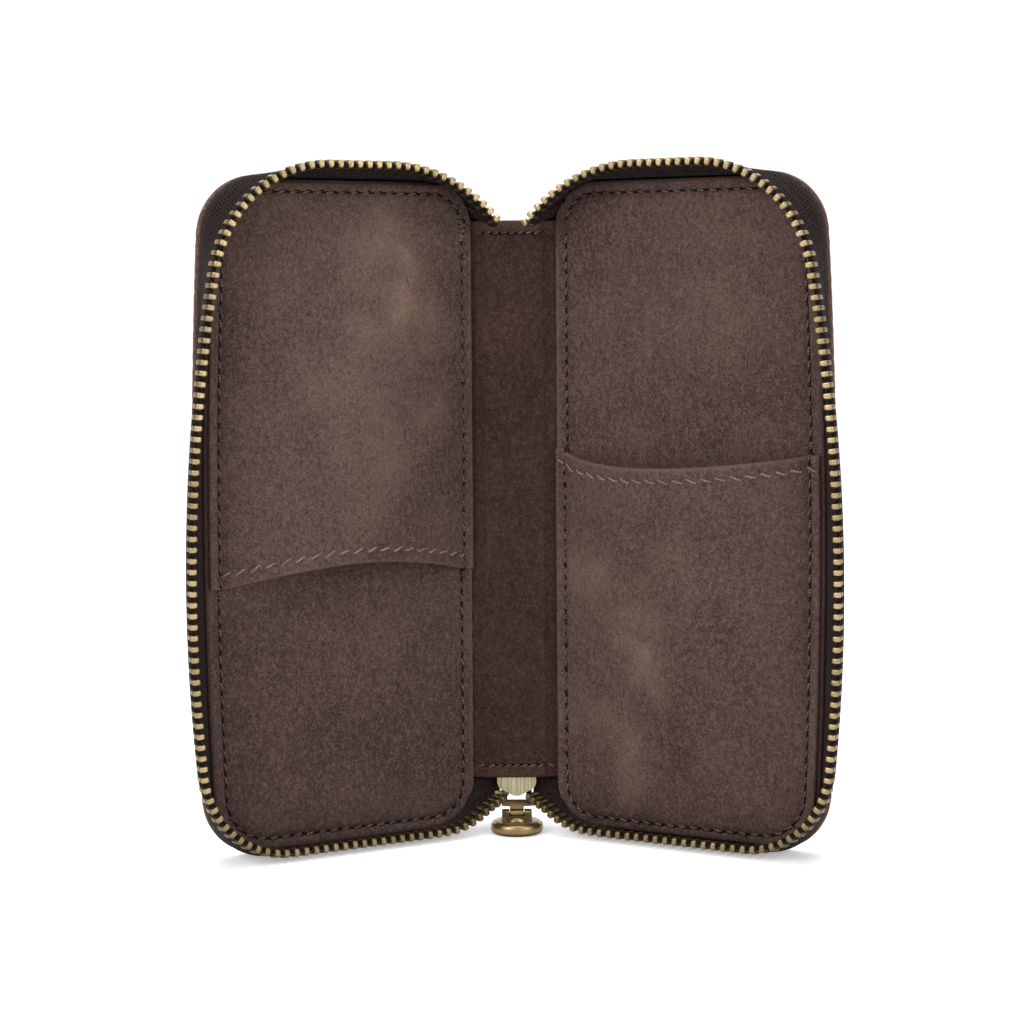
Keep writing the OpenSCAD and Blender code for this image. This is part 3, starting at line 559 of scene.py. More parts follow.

# %% [markdown]
# ## Outer leather
# The outside is oiled brown leather: a pebbled grain, slow changes of tone where the oil has moved, and
# edges painted paler, partly as rubbed wear and partly as a painted highlight. Voronoi cells give the
# pebbles.


# %% Leather with grain
def leather(name):
    paint = Paint(name)
    bent = paint.place + (paint.noise(90, 2, 0.5) - 0.5) * 0.004
    inputs = {"Vector": bent, "Scale": 950}
    cells = paint.node("ShaderNodeTexVoronoi", dict(feature="DISTANCE_TO_EDGE"), inputs)
    pebbles = paint.smooth(cells, 0.0, 0.22)
    oiled = paint.noise(22, 5, 0.6, distortion=0.5)
    edges = paint.node("ShaderNodeNewGeometry", {}, {}, "Pointiness")
    colour = paint.coats(
        paint.mix(paint.smooth(oiled, 0.35, 0.7), (70, 45, 33), (104, 71, 52)),
        (1 - pebbles, 0.55, (44, 27, 20)),
        # Paler edges where the surface is sharply curved: rubbed wear and a painted highlight.
        (paint.smooth(edges, 0.53, 0.62), 0.6, (150, 112, 88)),
        (paint.smooth(paint.noise(240, 3, 0.7), 0.6, 0.72), 0.25, (128, 92, 70)),
    )
    rough = 0.5 + (1 - pebbles) * 0.25 + (oiled - 0.5) * 0.25
    grain = pebbles * 0.7 + paint.noise(1300, 3, 0.6) * 0.3
    sockets = dict(Base_Color=colour, Roughness=rough, Coat_Roughness=0.4)
    return paint.finish(grain, 0.00022, 0.7, **sockets)


outer_leather = leather("outer_leather")
print("leather finish:", outer_leather.name)

# %% [markdown]
# ## Zip tape
# The tape is a narrow dark fabric woven in a herringbone: fine ribs that lean one way in one stripe and
# the other way in the next. The lay of the cloth gives a place along and across the tape, a wave of the
# two leans the ribs, and the sign of the stripe turns them over.

# %% Woven tape
STRIPE_W, RIB_W, RIB_LEAN = 1.7, 0.78, 0.75


def tape(name):
    paint = Paint(name)
    along, across = paint.cloth(0), paint.cloth(1)
    stripe = (across / STRIPE_W).floor()
    turn = (stripe * 0.5).part() * 4 - 1
    rib = ((along + across * turn * RIB_LEAN) * (2 * math.pi / RIB_W)).sine() * 0.5 + 0.5
    valley = paint.smooth(((across / STRIPE_W).part() - 0.5).size(), 0.36, 0.5)
    yarn = paint.noise(2600, 2, 0.6)
    height = rib * (1 - valley * 0.7) + yarn * 0.5
    colour = paint.coats(
        paint.mix(rib, (10, 6, 6), (50, 37, 36)),
        (paint.smooth(yarn, 0.5, 0.75), 0.4, (90, 72, 70)),
        (valley, 0.6, (12, 8, 8)),
    )
    sockets = dict(Sheen_Weight=0.03, Sheen_Roughness=0.5, Specular_IOR_Level=0.08)
    return paint.finish(height, 0.0003, 0.8, Base_Color=colour, Roughness=0.85, **sockets)


zip_tape = tape("zip_tape")
print("tape finish:", zip_tape.name)

# %% [markdown]
# ## Brass
# The zip is antique brass: bright where it is rubbed and brown-green in its corners. On the slider and
# the pull, how much open air a place sees mixes the two. Each tooth carries its own brightness: its head's
# top paler as wear and a painted highlight, its sides darker and the lower teeth darker as painted shade.
# The slider's flat plate is brushed in one direction, so its scratches are noise that is stretched along
# the height.


# %% Antique and brushed brass
def antique_brass(name, bright=(140, 120, 84), dull=(44, 33, 20), teeth=False):
    paint = Paint(name)
    stain = paint.noise(620, 4, 0.65)
    tone = paint.noise(160, 2, 0.5)
    # On teeth the lay gives wear with painted highlight and painted shade; elsewhere open air gives patina in
    # the hollows.
    worn_and_highlit = paint.cloth(0) if teeth else paint.open_air(0.0016, 0.3, 0.85)
    colour = paint.mix(worn_and_highlit, dull, bright)
    colour = paint.mix(paint.smooth(stain, 0.5, 0.7) * 0.5, colour, (92, 76, 46))
    colour = paint.mix(paint.smooth(tone, 0.45, 0.7) * 0.25 * worn_and_highlit, colour, (190, 168, 130))
    scratch = paint.noise(2200, 2, 0.6, at=paint.stretched(1, 1, 0.25))
    level = 0.3 + (1 - worn_and_highlit) * 0.2 + stain * 0.12
    return paint.finish(scratch, 0.00004, 0.35, Base_Color=colour, Roughness=level, Metallic=1.0)


def brushed_brass(name):
    paint = Paint(name)
    hair = paint.noise(2400, 3, 0.7, at=paint.stretched(1, 1, 0.03))
    broad = paint.noise(420, 2, 0.5, at=paint.stretched(1, 1, 0.08))
    colour = paint.mix(paint.smooth(hair, 0.3, 0.7), (138, 126, 98), (196, 186, 158))
    colour = paint.mix(paint.smooth(broad, 0.5, 0.75) * 0.4, colour, (112, 96, 64))
    colour = paint.mix(paint.open_air(0.0012, 0.25, 0.7), (44, 34, 22), colour)
    level = 0.34 + hair * 0.2
    return paint.finish(hair + broad, 0.00005, 0.6, Base_Color=colour, Roughness=level, Metallic=1.0)


brass = antique_brass("antique_brass")
tooth_brass = antique_brass("tooth_brass", (180, 160, 120), (58, 46, 27), teeth=True)
slider_brass = brushed_brass("brushed_brass")
print("brass finishes:", brass.name, tooth_brass.name, slider_brass.name)

# %% [markdown]
# ## Thread, board and foam
# Thread is twisted, so its bump winds round each stitch. The hems of the pockets are sewn with a paler
# thread than the seams, and every needle hole is a dark pit, its shade painted on. The board and the
# foam lie inside and only need a quiet finish of their own.


# %% Thread, needle holes, board and foam
def thread(name, dark, light):
    paint = Paint(name)
    along, around = paint.cloth(0), paint.cloth(1)
    twist = ((along * 1.6 + around) * (2 * math.pi)).sine() * 0.5 + 0.5
    colour = paint.mix(twist, dark, light)
    colour = paint.mix(paint.smooth(paint.noise(200, 2), 0.4, 0.62) * 0.6, colour, dark)
    return paint.finish(twist, 0.0001, 0.6, Base_Color=colour, Roughness=0.7)


def board(name):
    paint = Paint(name)
    pulp = paint.noise(600, 4, 0.7)
    colour = paint.mix(pulp, (138, 126, 112), (158, 148, 134))
    return paint.finish(pulp, 0.0001, 0.5, Base_Color=colour, Roughness=0.9)


def foam(name):
    paint = Paint(name)
    cells = paint.node("ShaderNodeTexVoronoi", {}, {"Vector": paint.place, "Scale": 1800})
    colour = paint.mix(cells, (120, 115, 108), (96, 90, 84))
    return paint.finish(cells, 0.0002, 0.5, Base_Color=colour, Roughness=0.95)


def hole_shade(name):
    paint = Paint(name)
    shade_speckle = paint.noise(900, 2)
    # Nearly black: the shade inside a needle hole, painted on.
    colour = paint.mix(shade_speckle, (20, 14, 12), (34, 26, 23))
    return paint.finish(Base_Color=colour, Roughness=0.95, Specular_IOR_Level=0.05)


sewing_thread = thread("sewing_thread", (42, 32, 29), (122, 101, 92))
hem_thread = thread("hem_thread", (92, 74, 67), (150, 125, 114))
needle_hole_shade = hole_shade("needle_hole_shade")
stiff_board, soft_foam = board("stiff_board"), foam("soft_foam")
print("thread, board and foam are ready")

# %% [markdown]
# ## A row of stitches
# Each stitch is a short piece of thread that comes up out of one needle hole and goes down into the
# next. It is a small tube whose line rises and falls, and it leans a little, because the machine lays
# the thread across the seam. Threads and cords are both tubes, so their helpers come first.


# %% Tubes round a line
def unit(v):
    """Vectors made one long."""
    return v / np.linalg.norm(v, axis=-1, keepdims=True)


def far_along(line):
    """How far along a line each of its points lies."""
    return np.concatenate([[0], np.cumsum(np.linalg.norm(np.diff(line, axis=0), axis=1))])


def tube_points(line, across, other, r, turn):
    """Rings of points round a line. The ring's two directions are across and other."""
    ring = across[:, None] * np.cos(turn)[None, :, None] + other[:, None] * np.sin(turn)[None, :, None]
    return (line[:, None] + ring * r).reshape(-1, 3)


def tube_faces(rings, sides, first=0):
    """Faces between the rings of a tube, and one that closes each of its ends."""
    faces = []
    for i in range(rings - 1):
        a = first + i * sides
        for j in range(sides):
            m = (j + 1) % sides
            faces.append((a + j, a + m, a + sides + m, a + sides + j))
    last = first + (rings - 1) * sides
    faces.append(tuple(first + j for j in range(sides))[::-1])
    faces.append(tuple(last + j for j in range(sides)))
    return faces


STITCH_SIDES, STITCH_RINGS = 7, 9
stitch_turn = np.arange(STITCH_SIDES) * 2 * math.pi / STITCH_SIDES
stitch_share = np.linspace(0, 1, STITCH_RINGS)
print("a stitch has", STITCH_SIDES * STITCH_RINGS, "points")

# %% [markdown]
# Where the needle went through, the suede shows a dark hole. To cut it, the suede would need a very fine
# grid, so a small cone painted dark is set into it instead, point down, and its flat top shows the
# hole's painted shade.

# %% One stitch and its needle holes
SINK, FLATTEN = 0.12, 0.8
HOLE_SIDES, HOLE_DEPTH, HOLE_LONG, HOLE_WIDE, HOLE_RISE = 8, 0.3, 0.6, 0.48, 0.03


def one_stitch(mid, way, r, sway, rise):
    """The points of a stitch over its stretch of seam, and those of its two needle holes."""
    run = unit(np.gradient(mid, axis=0))
    across = np.cross(run, way)
    mid = mid + across * (sway * np.cos(math.pi * stitch_share))[:, None]
    mid = mid + way * (rise * np.sin(math.pi * stitch_share) - SINK)[:, None]
    thick = r * (0.55 + 0.45 * np.sin(math.pi * stitch_share) ** 0.5)[:, None, None]
    holes = []
    for end in (0, -1):
        centre = mid[end] + way[end] * HOLE_RISE
        rim = [centre + (run[end] * math.cos(a) * HOLE_LONG + across[end] * math.sin(a) * HOLE_WIDE)
               for a in np.arange(HOLE_SIDES) * math.pi / 4]
        holes += [centre - way[end] * HOLE_DEPTH] + rim
    return tube_points(mid, across, way * FLATTEN, thick, stitch_turn), holes


def hole_faces(first):
    """Faces of a needle hole: the sides of its cone, and the top that is seen."""
    rim = [first + 1 + i for i in range(HOLE_SIDES)]
    return [(first, rim[i], rim[(i + 1) % HOLE_SIDES]) for i in range(HOLE_SIDES)] + [tuple(rim[::-1])]


print("a needle hole has", len(hole_faces(0)), "faces")


# %% Stitches along a line
def make_stitches(name, line, up, side, body, pitch=3.4, length=2.3, r=0.24, lean=0.12, rise=0.3):
    """Stitches along a line of points, standing on a surface whose way up is up at each point.

    They ride on a body. Without one, the piece is returned to the caller.
    """
    far = far_along(line)
    starts = np.arange((far[-1] % pitch) / 2 + (pitch - length) / 2, far[-1] - length, pitch)
    points, faces, lays, holes = [], [], [], []
    for k, start in enumerate(starts):
        d = start + stitch_share * length
        mid, way = [np.stack([np.interp(d, far, v) for v in values.T], -1) for values in (line, up)]
        sway = lean * (1 + 0.3 * math.sin(2.4 * k))
        tube, ends = one_stitch(mid, unit(way), r, sway, rise)
        faces += tube_faces(STITCH_RINGS, STITCH_SIDES, len(points) * STITCH_SIDES * STITCH_RINGS)
        points.append(tube)
        holes += ends
        lays.append(np.stack(np.meshgrid(stitch_turn / (2 * math.pi), d)[::-1], -1).reshape(-1, 2))
    base = sum(len(p) for p in points)
    dark = [face for k in range(2 * len(starts)) for face in hole_faces(base + k * (HOLE_SIDES + 1))]
    points = np.concatenate(points + [np.array(holes)])
    lays = np.concatenate(lays + [np.zeros((len(holes), 2))])
    yarn = hem_thread if "pocket" in name else sewing_thread
    piece = make_piece(name, points, faces + dark, yarn, side, lays, 80)
    piece.data.materials.append(needle_hole_shade)
    which = np.zeros(len(piece.data.polygons), int)
    which[-len(dark):] = 1
    piece.data.polygons.foreach_set("material_index", which.tolist())
    "outer_leather" if "outer" in name else "suede"
    if body:
        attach(piece, body)
        return len(starts)
    return piece


print("stitching is ready")

# %% [markdown]
# ## Leather covers
# A cover's leather is one panel with its edge turned over and rounded. The board under it lifts the
# middle by half a millimetre, so the sewn border lies lower. Beside the spine it has no edge of its own,
# because there the hide runs on into the fold.

# %% Two leather covers
BORDER, BOARD_EDGE, BOARD_SLOPE, BOARD_LIFT = 3.2, 7.2, 2.2, 0.5


def eased(f):
    """A share that starts and stops softly."""
    return f * f * (3 - 2 * f)


def leather_grids():
    """Front and back of a cover's leather."""
    z = row_heights(0.0, CASE_H, INNER_R, 1.6)
    u = columns(near_edge(z, 0, 0, INNER_R), far_edge(z, 0))
    z = np.repeat(z[:, None], u.shape[1], 1)
    d = distance_to(leather_edge.points(0.25), u, z)
    edge = rounded(d, LEATHER_T / 2)
    seam = distance_to(layer_edge(BORDER, 0, INNER_R).points(0.25), u, z)
    lifted = np.clip((d - BOARD_EDGE) / BOARD_SLOPE, 0, 1)
    out = BOARD_LIFT * eased(lifted) * np.clip((u - INNER_EDGE) / 4, 0, 1)
    out = out - 0.22 * np.exp(-((seam / 0.55) ** 2)) + 0.06 * softness(u, z) * lifted
    return placed(u, LEATHER_T - edge, z), placed(u, edge - out, z)


front, back = leather_grids()
for name, side in SIDES.items():
    body = name + "_cover"
    piece = make_sheet(body + "_skin", front[:, ::-1], back[:, ::-1], outer_leather, side)
    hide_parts(name + "_cover_leather")
    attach(piece, body)
    sewn = layer_edge(BORDER, 0, INNER_R).points(0.4)
    line = placed(sewn[:, 0], np.full(len(sewn), 0.05), sewn[:, 1])
    up = np.repeat(placed(0.0, -1.0, 0.0)[None] - placed(0.0, 0.0, 0.0)[None], len(line), 0)
    count = make_stitches(name + "_outer_stitches", line, up, side, body, length=2.5, r=0.26)
    print(body, "leather:", front.shape[:2], "grid,", count, "stitches")

# %% [markdown]
# ## Suede lining of a cover
# The lining lies over foam, so its face is almost flat and its edges roll down to the leather. A seam
# runs all the way round and pulls it in. Along the spine the panel ends in a thin edge over the fold.

# %% Two lining panels
SEAM = 2.8
seam_edge = layer_edge(LINING_INSET + SEAM, LINING_SIDE + SEAM, LINING_TURN - SEAM)


def seam_loop(step=0.25):
    """The seam all the way round a cover's lining, as places (u, z)."""
    walked = seam_edge.points(step)
    z = np.arange(walked[-1, 1], walked[0, 1], step)
    return np.concatenate([walked, np.stack([np.full(len(z), walked[0, 0]), z], -1)])


def lining_height(u, z, d, seam):
    """How high the lining's face lies above the back of the cover."""
    outer = np.clip((u - INNER_EDGE - LINING_SIDE) / 6, 0, 1)
    drop = rounded(d, 1.3) * (0.55 + 0.45 * outer)
    groove = 0.42 * np.exp(-((seam / 0.75) ** 2))
    swell = 0.22 * np.clip((d - SEAM) / 9, 0, 1) + 0.12 * softness(u, z, 1.7)
    return FACE_N + swell * np.clip(d / 4, 0, 1) - drop - groove


def lining_grids():
    """Front and back of a cover's lining, how pale its edge is painted for rubbing and as a painted
    highlight, and its face as u, z and n.
    """
    low, high = LINING_INSET, CASE_H - LINING_INSET
    z = row_heights(low, high, LINING_TURN, 0.95)
    fine = np.concatenate([low + FINE, high - FINE])
    z = np.unique(np.round(np.concatenate([z, fine]), 3))
    u = columns(near_edge(z, LINING_INSET, LINING_SIDE, LINING_TURN), far_edge(z, LINING_INSET))
    z = np.repeat(z[:, None], u.shape[1], 1)
    outline = lining_edge.points(0.25)
    rest = np.arange(outline[-1, 1], outline[0, 1], 0.25)
    loop = np.concatenate([outline, np.stack([np.full(len(rest), outline[0, 0]), rest], -1)])
    d = distance_to(loop, u, z)
    n = lining_height(u, z, d, distance_to(seam_loop(), u, z))
    under = np.where(d < 0.3, np.minimum(n - 0.1, LINING_N - 0.9), LINING_N - 0.9)
    # The third value is a paler band along the edge: rubbing and a painted highlight.
    return placed(u, n, z), placed(u, under, z), 0.8 * np.exp(-(((d - 0.3) / 0.7) ** 2)), (u, z, n)


front, back, rub_and_highlight, lining_face = lining_grids()
for name, side in SIDES.items():
    finish = suede_left if name == "left" else suede_right
    piece = make_sheet(name + "_lining_panel", front, back, finish, side, None, rub_and_highlight)
    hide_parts(name + "_cover_lining")
    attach(piece, name + "_cover")
    print(name, "lining:", front.shape[:2], "grid")

# %% [markdown]
# ## Pockets
# Each pocket is a piece of suede sewn down on three sides. At its mouth it stands off the lining in a
# long swell, its edge is turned over into a hem, and the mouth dips in the middle. The left pocket
# opens down and the right one opens up.

# %% Two pockets
POCKET_INSET, POCKET_T, MARGIN, ROOM, DIP = 1.6, 0.9, 2.5, 6.4, 3.6
MOUTHS = {"left": 59.5, "right": 88.8}
POCKET_ENDS = {"left": CASE_H - POCKET_INSET, "right": POCKET_INSET}
HEM, POCKET_COLS = 3.1, 96
# Places of the grid's lines beside the mouth and beside the sewn sides
MOUTH_FINE = [0, 0.1, 0.25, 0.45, 0.7, 1.0, 1.4, 1.9, 2.4, 2.75, 3.1, 3.45, 3.8, 4.3]
SIDE_FINE = np.array([0, 0.12, 0.3, 0.6, 1.0, 1.4, 1.75, 2.05, 2.3, 2.5])


def pocket_height(s, f):
    """How far the middle of the suede stands off the sewn border."""
    return ROOM * np.sin(math.pi * s) ** 0.9 * np.cos(math.pi / 2 * f**1.6)


def lip_height(mouth, away, s):
    """Height of a pocket's mouth at the share s of its width, from the spine outwards."""
    if away > 0:
        return mouth + 0.9 * (1 - s) ** 2 + (DIP + 0.7) * np.sin(math.pi * s**0.95)
    return mouth - 0.9 - DIP * np.sin(math.pi * s**0.68) ** 0.8


def pocket_places(mouth, far):
    """Grid of a pocket: the places u and z, and the shares of its width and of its length."""
    length, beside = abs(far - mouth), len(SIDE_FINE)
    down = np.concatenate([MOUTH_FINE, np.arange(5.2, length - 5.5, 1.1), length - FINE[::-1]])
    even = np.linspace(0, 1, POCKET_COLS - 2 * beside)
    s = 0.35 * (0.5 - 0.5 * np.cos(even * math.pi)) + 0.65 * even
    s = np.clip(np.concatenate([np.zeros(beside), s, np.ones(beside)]), 0, 1)
    rows = []
    for share in np.clip(down / length, 0, 1):
        lip = lip_height(mouth, 1 if far > mouth else -1, s)
        z = lip + share * (far - lip)
        gap = np.abs(far - z) + POCKET_INSET - LINING_INSET
        near = INNER_EDGE + LINING_SIDE + 0.1 + corner_cut(gap, LINING_TURN)
        wide = far_edge(z, POCKET_INSET)
        u = near + MARGIN + s * (wide - near - 2 * MARGIN)
        u[:beside] = near[:beside] + SIDE_FINE
        u[-beside:] = wide[-beside:] - SIDE_FINE[::-1]
        rows.append(np.stack([u, z, s, np.full(POCKET_COLS, share)], -1))
    return np.moveaxis(np.array(rows), -1, 0)


def pocket_grids(mouth, far):
    """A pocket's places, the heights of its face and its back, and how pale its mouth and sides are painted,
    as a highlight.
    """
    u, z, s, share = pocket_places(mouth, far)
    length = abs(far - mouth)
    inside, mid = share * length, pocket_height(s, share)
    side_d = np.minimum(np.abs(u - u[:, :1]), np.abs(u - u[:, -1:]))
    end_d = np.minimum(side_d, length - inside)
    n = FACE_N + 0.02 + POCKET_T + mid - rounded(end_d, 0.8) * 0.75
    n = n - 0.34 * np.exp(-((distance_to(seam_loop(), u, z) / 0.65) ** 2)) * (end_d < 6)
    hem = 0.32 * (1 - np.clip((inside - HEM) / 0.7, 0, 1)) * np.clip(end_d / 2, 0, 1)
    n = n + hem - 0.3 * np.exp(-(((inside - HEM) / 0.5) ** 2)) * np.clip(end_d / 2, 0, 1)
    n = n - rounded(inside, 0.75) * 0.9
    loose = np.sin(math.pi * s) * np.clip(1 - share, 0, 1)
    swell = loose * softness(u * 1.3, z * 1.1, mouth)
    back = FACE_N + 0.02 + mid + 0.25 * swell + np.where(inside < 0.01, 0.15, 0)
    n = np.maximum(n + 0.28 * swell, back + 0.12)
    # Painted highlight along the lip of the mouth and beside the sewn sides.
    rub_and_highlight = 0.6 * np.exp(-(((inside - 0.3) / 0.5) ** 2)) + 0.4 * np.exp(-(((side_d - 0.4) / 0.6) ** 2))
    return u, z, n, back, share, rub_and_highlight


pocket_surfaces = {}
for name, side in SIDES.items():
    u, z, n, under, share, rub_and_highlight = pocket_grids(MOUTHS[name], POCKET_ENDS[name])
    flip = slice(None, None, -1) if name == "right" else slice(None)
    front, back = placed(u, n, z)[flip], placed(u, under, z)[flip]
    finish = suede_left if name == "left" else suede_right
    piece = make_sheet(name + "_pocket_suede", front, back, finish, side, None, rub_and_highlight[flip])
    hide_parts(name + "_pocket")
    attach(piece, name + "_cover")
    middle = (front + back) / 2
    name + "_lining_panel"
    pocket_surfaces[name] = (u, z, n, share)

# %% [markdown]
# ## Seams of the lining and the pockets
# One seam runs round each cover. Where it crosses a pocket it lies on the pocket's border, and
# elsewhere on the lining. A second row holds the hem of the pocket's mouth.


# %% Sew the seams
def surface_at(name, places):
    """Height of the suede at places on a cover: the highest of the lining and the pocket there."""
    heights = np.full(len(places), 0.0)
    for u, z, n in (lining_face, pocket_surfaces[name][:3]):
        tree = KDTree(u.size)
        for i, (a, b) in enumerate(zip(u.ravel().tolist(), z.ravel().tolist())):
            tree.insert((a, b, 0), i)
        tree.balance()
        found = [tree.find((a, b, 0)) for a, b in places.tolist()]
        near = np.array([f[2] for f in found]) < 1.2
        heights = np.where(near, np.maximum(heights, n.ravel()[[f[1] for f in found]]), heights)
    return heights


up_n = placed(0.0, 1.0, 0.0) - placed(0.0, 0.0, 0.0)
for name, side in SIDES.items():
    loop = seam_loop(0.5)
    line = placed(loop[:, 0], surface_at(name, loop) + 0.17, loop[:, 1])
    up = np.repeat(up_n[None], len(line), 0)
    count = make_stitches(name + "_lining_stitches", line, up, side, name + "_cover",
                          pitch=2.95, length=1.9, lean=0.16, rise=0.24)
    u, z, n, share = pocket_surfaces[name]
    row = np.argmin(np.abs(share[:, 0] * abs(POCKET_ENDS[name] - MOUTHS[name]) - HEM))
    hem_line = placed(u[row], n[row] + 0.02, z[row])[1:-1]
    up = normals(placed(u, n, z))[row][1:-1]
    up = up * np.sign((up * up_n).sum(1, keepdims=True))
    more = make_stitches(name + "_pocket_stitches", hem_line, up, side, name + "_cover",
                         length=2.7, r=0.3, lean=0.4, rise=0.34)
    print(name, "seams:", count, "and", more, "stitches")

# %% [markdown]
# The seam of the left lining starts and ends beside the spine near its upper corner. The machine sews to
# and fro there to lock the thread, which leaves a small dark knot of crossed stitches.

# %% The locked end of the left seam
TACK_U, TACK_Z, TACK_WIDE, TACK_TALL = INNER_EDGE + LINING_SIDE + 1.5, 137.9, 2.4, 4.6
turns = np.arange(11)
tack_u = TACK_U + TACK_WIDE * (turns % 2) + 0.3 * np.sin(turns * 2.2)
tack_z = TACK_Z + TACK_TALL * (turns / 10 - 0.5) + 0.4 * np.sin(turns * 3.7)
tack = placed(tack_u, FACE_N + POCKET_T - 0.06 + 0.02 * turns, tack_z)
steps = np.linspace(0, 0.9, 6)[:, None]
tack = np.concatenate([a + steps * (b - a) for a, b in zip(tack[:-1], tack[1:])])
up = np.repeat(up_n[None], len(tack), 0)
count = make_stitches("left_lining_tack", tack, up, 1, "left_cover",
                      pitch=2.5, length=2.2, r=0.26, lean=0.05, rise=0.16)
print("locked end:", count, "stitches")

# %% [markdown]
# ## Spine and folds
# The spine is flat, and its lining has a turned edge at the top. Between the spine and each cover a
# strip of leather and a strip of suede bend when the case is closed. Each strip stays where it is made,
# and its ends meet the pieces beside it edge to edge with the same slope, so that the hide looks
# unbroken.


# %% The spine's leather with its notch for the slider
def spine_leather_grids():
    """Front and back of the spine's leather. Its lower edge runs up and over the notch."""
    half, top, notch, notch_top = SPINE_HALF, HEAD, 4.8, 18.6
    a = np.linspace(0, math.pi, 25)
    arc = np.stack([-notch * np.cos(a), notch_top - notch + notch * np.sin(a)], -1)
    foot = np.concatenate([
        np.stack([np.linspace(-half, -notch, 8), np.full(8, FOOT)], -1),
        np.stack([np.full(5, -notch), np.linspace(FOOT, notch_top - notch, 7)[1:-1]], -1), arc,
        np.stack([np.full(5, notch), np.linspace(notch_top - notch, FOOT, 7)[1:-1]], -1),
        np.stack([np.linspace(notch, half, 8), np.full(8, FOOT)], -1)])
    head = np.stack([np.linspace(-half, half, len(foot)), np.full(len(foot), top)], -1)
    down = np.array([0, 0.05, 0.15, 0.3, 0.5, 0.75, 1.1, 1.6, 2.3, 3.2]) / (top - FOOT)
    f = np.concatenate([down, np.linspace(0.04, 0.96, 40), 1 - down[::-1]])[:, None, None]
    flat = foot + f * (head - foot)
    x, z = flat[..., 0], flat[..., 1]
    dense = np.concatenate([foot[:-1] + t * np.diff(foot, axis=0) for t in (0, 0.25, 0.5, 0.75)])
    rim = np.concatenate([dense, np.stack([np.linspace(-half, half, 60), np.full(60, top)], -1)])
    edge = rounded(distance_to(rim, x, z), LEATHER_T / 2)
    return np.stack([x, edge - LEATHER_T, z], -1), np.stack([x, -edge, z], -1)


front, back = spine_leather_grids()
piece = make_sheet("spine_skin", front, back, outer_leather)
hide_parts("spine_leather")
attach(piece, "spine")
print("spine leather:", front.shape[:2], "grid")

# %% [markdown]
# The lining of the spine is turned over at its top and at its foot, and a short seam across holds each
# turned edge. Both turned edges are painted paler, the upper one more: a painted highlight where the
# light grazes it.

# %% The spine's lining with its turned edges
TURNED = 2.6


def spine_lining_grids():
    """Front and back of the spine's lining, and the painted highlight on its two turned edges."""
    x = np.concatenate([-SPINE_LINING_HALF + FINE[:9] * 0.6, np.linspace(-5, 5, 24),
                        SPINE_LINING_HALF - FINE[:9][::-1] * 0.6])
    low, high = FOOT, HEAD + 0.3
    z = np.concatenate([low + FINE, np.arange(low + 6, high - 6, 1.0), high - FINE[::-1]])
    x, z = np.meshgrid(x, z)
    top, foot = high - z, z - low
    turned = 0.35 * (1 - np.clip((top - TURNED) / 0.5, 0, 1))
    turned = turned + 0.3 * (1 - np.clip((foot - TURNED) / 0.5, 0, 1))
    groove = 0.26 * np.exp(-(((top - TURNED - 0.2) / 0.45) ** 2))
    groove = groove + 0.26 * np.exp(-(((foot - TURNED - 0.2) / 0.45) ** 2))
    ends = rounded(np.minimum(top, foot), 0.8)
    front = SPINE_FRONT_Y - 0.08 * softness(x * 2, z, 0.6) * np.clip(np.minimum(top, foot) / 5, 0, 1)
    front = front - turned * np.clip((SPINE_LINING_HALF - np.abs(x)) / 1.2, 0, 1) + groove + ends
    back = np.full(x.shape, SPINE_BACK_Y)
    back = np.maximum(back - rounded(np.minimum(top, foot), 0.5), front + 0.15)
    # Painted highlight: strong along the top turned edge, weaker at the foot.
    rub_and_highlight = 1 - np.clip((top - 1.6) / 1.4, 0, 1) + 0.35 * (1 - np.clip(foot - 1.4, 0, 1))
    return np.stack([x, front, z], -1), np.stack([x, back, z], -1), rub_and_highlight


front, back, rub_and_highlight = spine_lining_grids()
piece = make_sheet("spine_suede", front, back, suede_plain, 1, None, rub_and_highlight)
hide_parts("spine_lining")
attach(piece, "spine")
CROSS_SEAMS = {"top": HEAD + 0.3 - TURNED - 0.2, "foot": FOOT + TURNED + 0.2}
for end, z in CROSS_SEAMS.items():
    x = np.linspace(-SPINE_LINING_HALF, SPINE_LINING_HALF, 30)
    line = np.stack([x, np.full(30, SPINE_FRONT_Y - 0.04), np.full(30, z)], -1)
    up = np.repeat([[0.0, -1.0, 0.0]], 30, 0)
    count = make_stitches("spine_lining_" + end + "_stitches", line, up, 1, "spine",
                          pitch=1.9, length=1.5, lean=0.2, rise=0.26)
print("spine lining:", front.shape[:2], "grid,", count, "stitches at each end")

# %% [markdown]
# A fold is drawn in plan as a short curve for each face, and drawn up into a strip.


# %% The strips at the folds
def bezier(p, c, q, count):
    """Points on a curve from p to q that bends towards c."""
    f = np.linspace(0, 1, count)[:, None]
    return (1 - f) ** 2 * p + 2 * f * (1 - f) * c + f * f * q


def in_plan(u, n):
    """A place on the left cover, seen from above."""
    return placed(u, n, 0.0)[:2]


def strip_grids(outer, inner, low, high, turn):
    """A strip between two lines in plan, from one height to another, with its two ends rounded."""
    z = np.unique(np.concatenate([low + FINE[:8], np.linspace(low + 2, high - 2, 60), high - FINE[:8]]))
    end = np.minimum(z - low, high - z)
    pull = (rounded(end, turn) / (2 * turn))[:, None, None]
    a = np.concatenate([np.repeat(outer[None], len(z), 0), np.repeat(z[:, None, None], len(outer), 1)], 2)
    b = np.concatenate([np.repeat(inner[None], len(z), 0), np.repeat(z[:, None, None], len(inner), 1)], 2)
    return a + pull * (b - a), b + pull * (a - b)


def across_fold(piece, name, start, end, z=75):
    """Only bakes a piece's placing into its points; nothing is blended, and start, end and z are not used."""
    name + "_cover"
    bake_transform(piece)


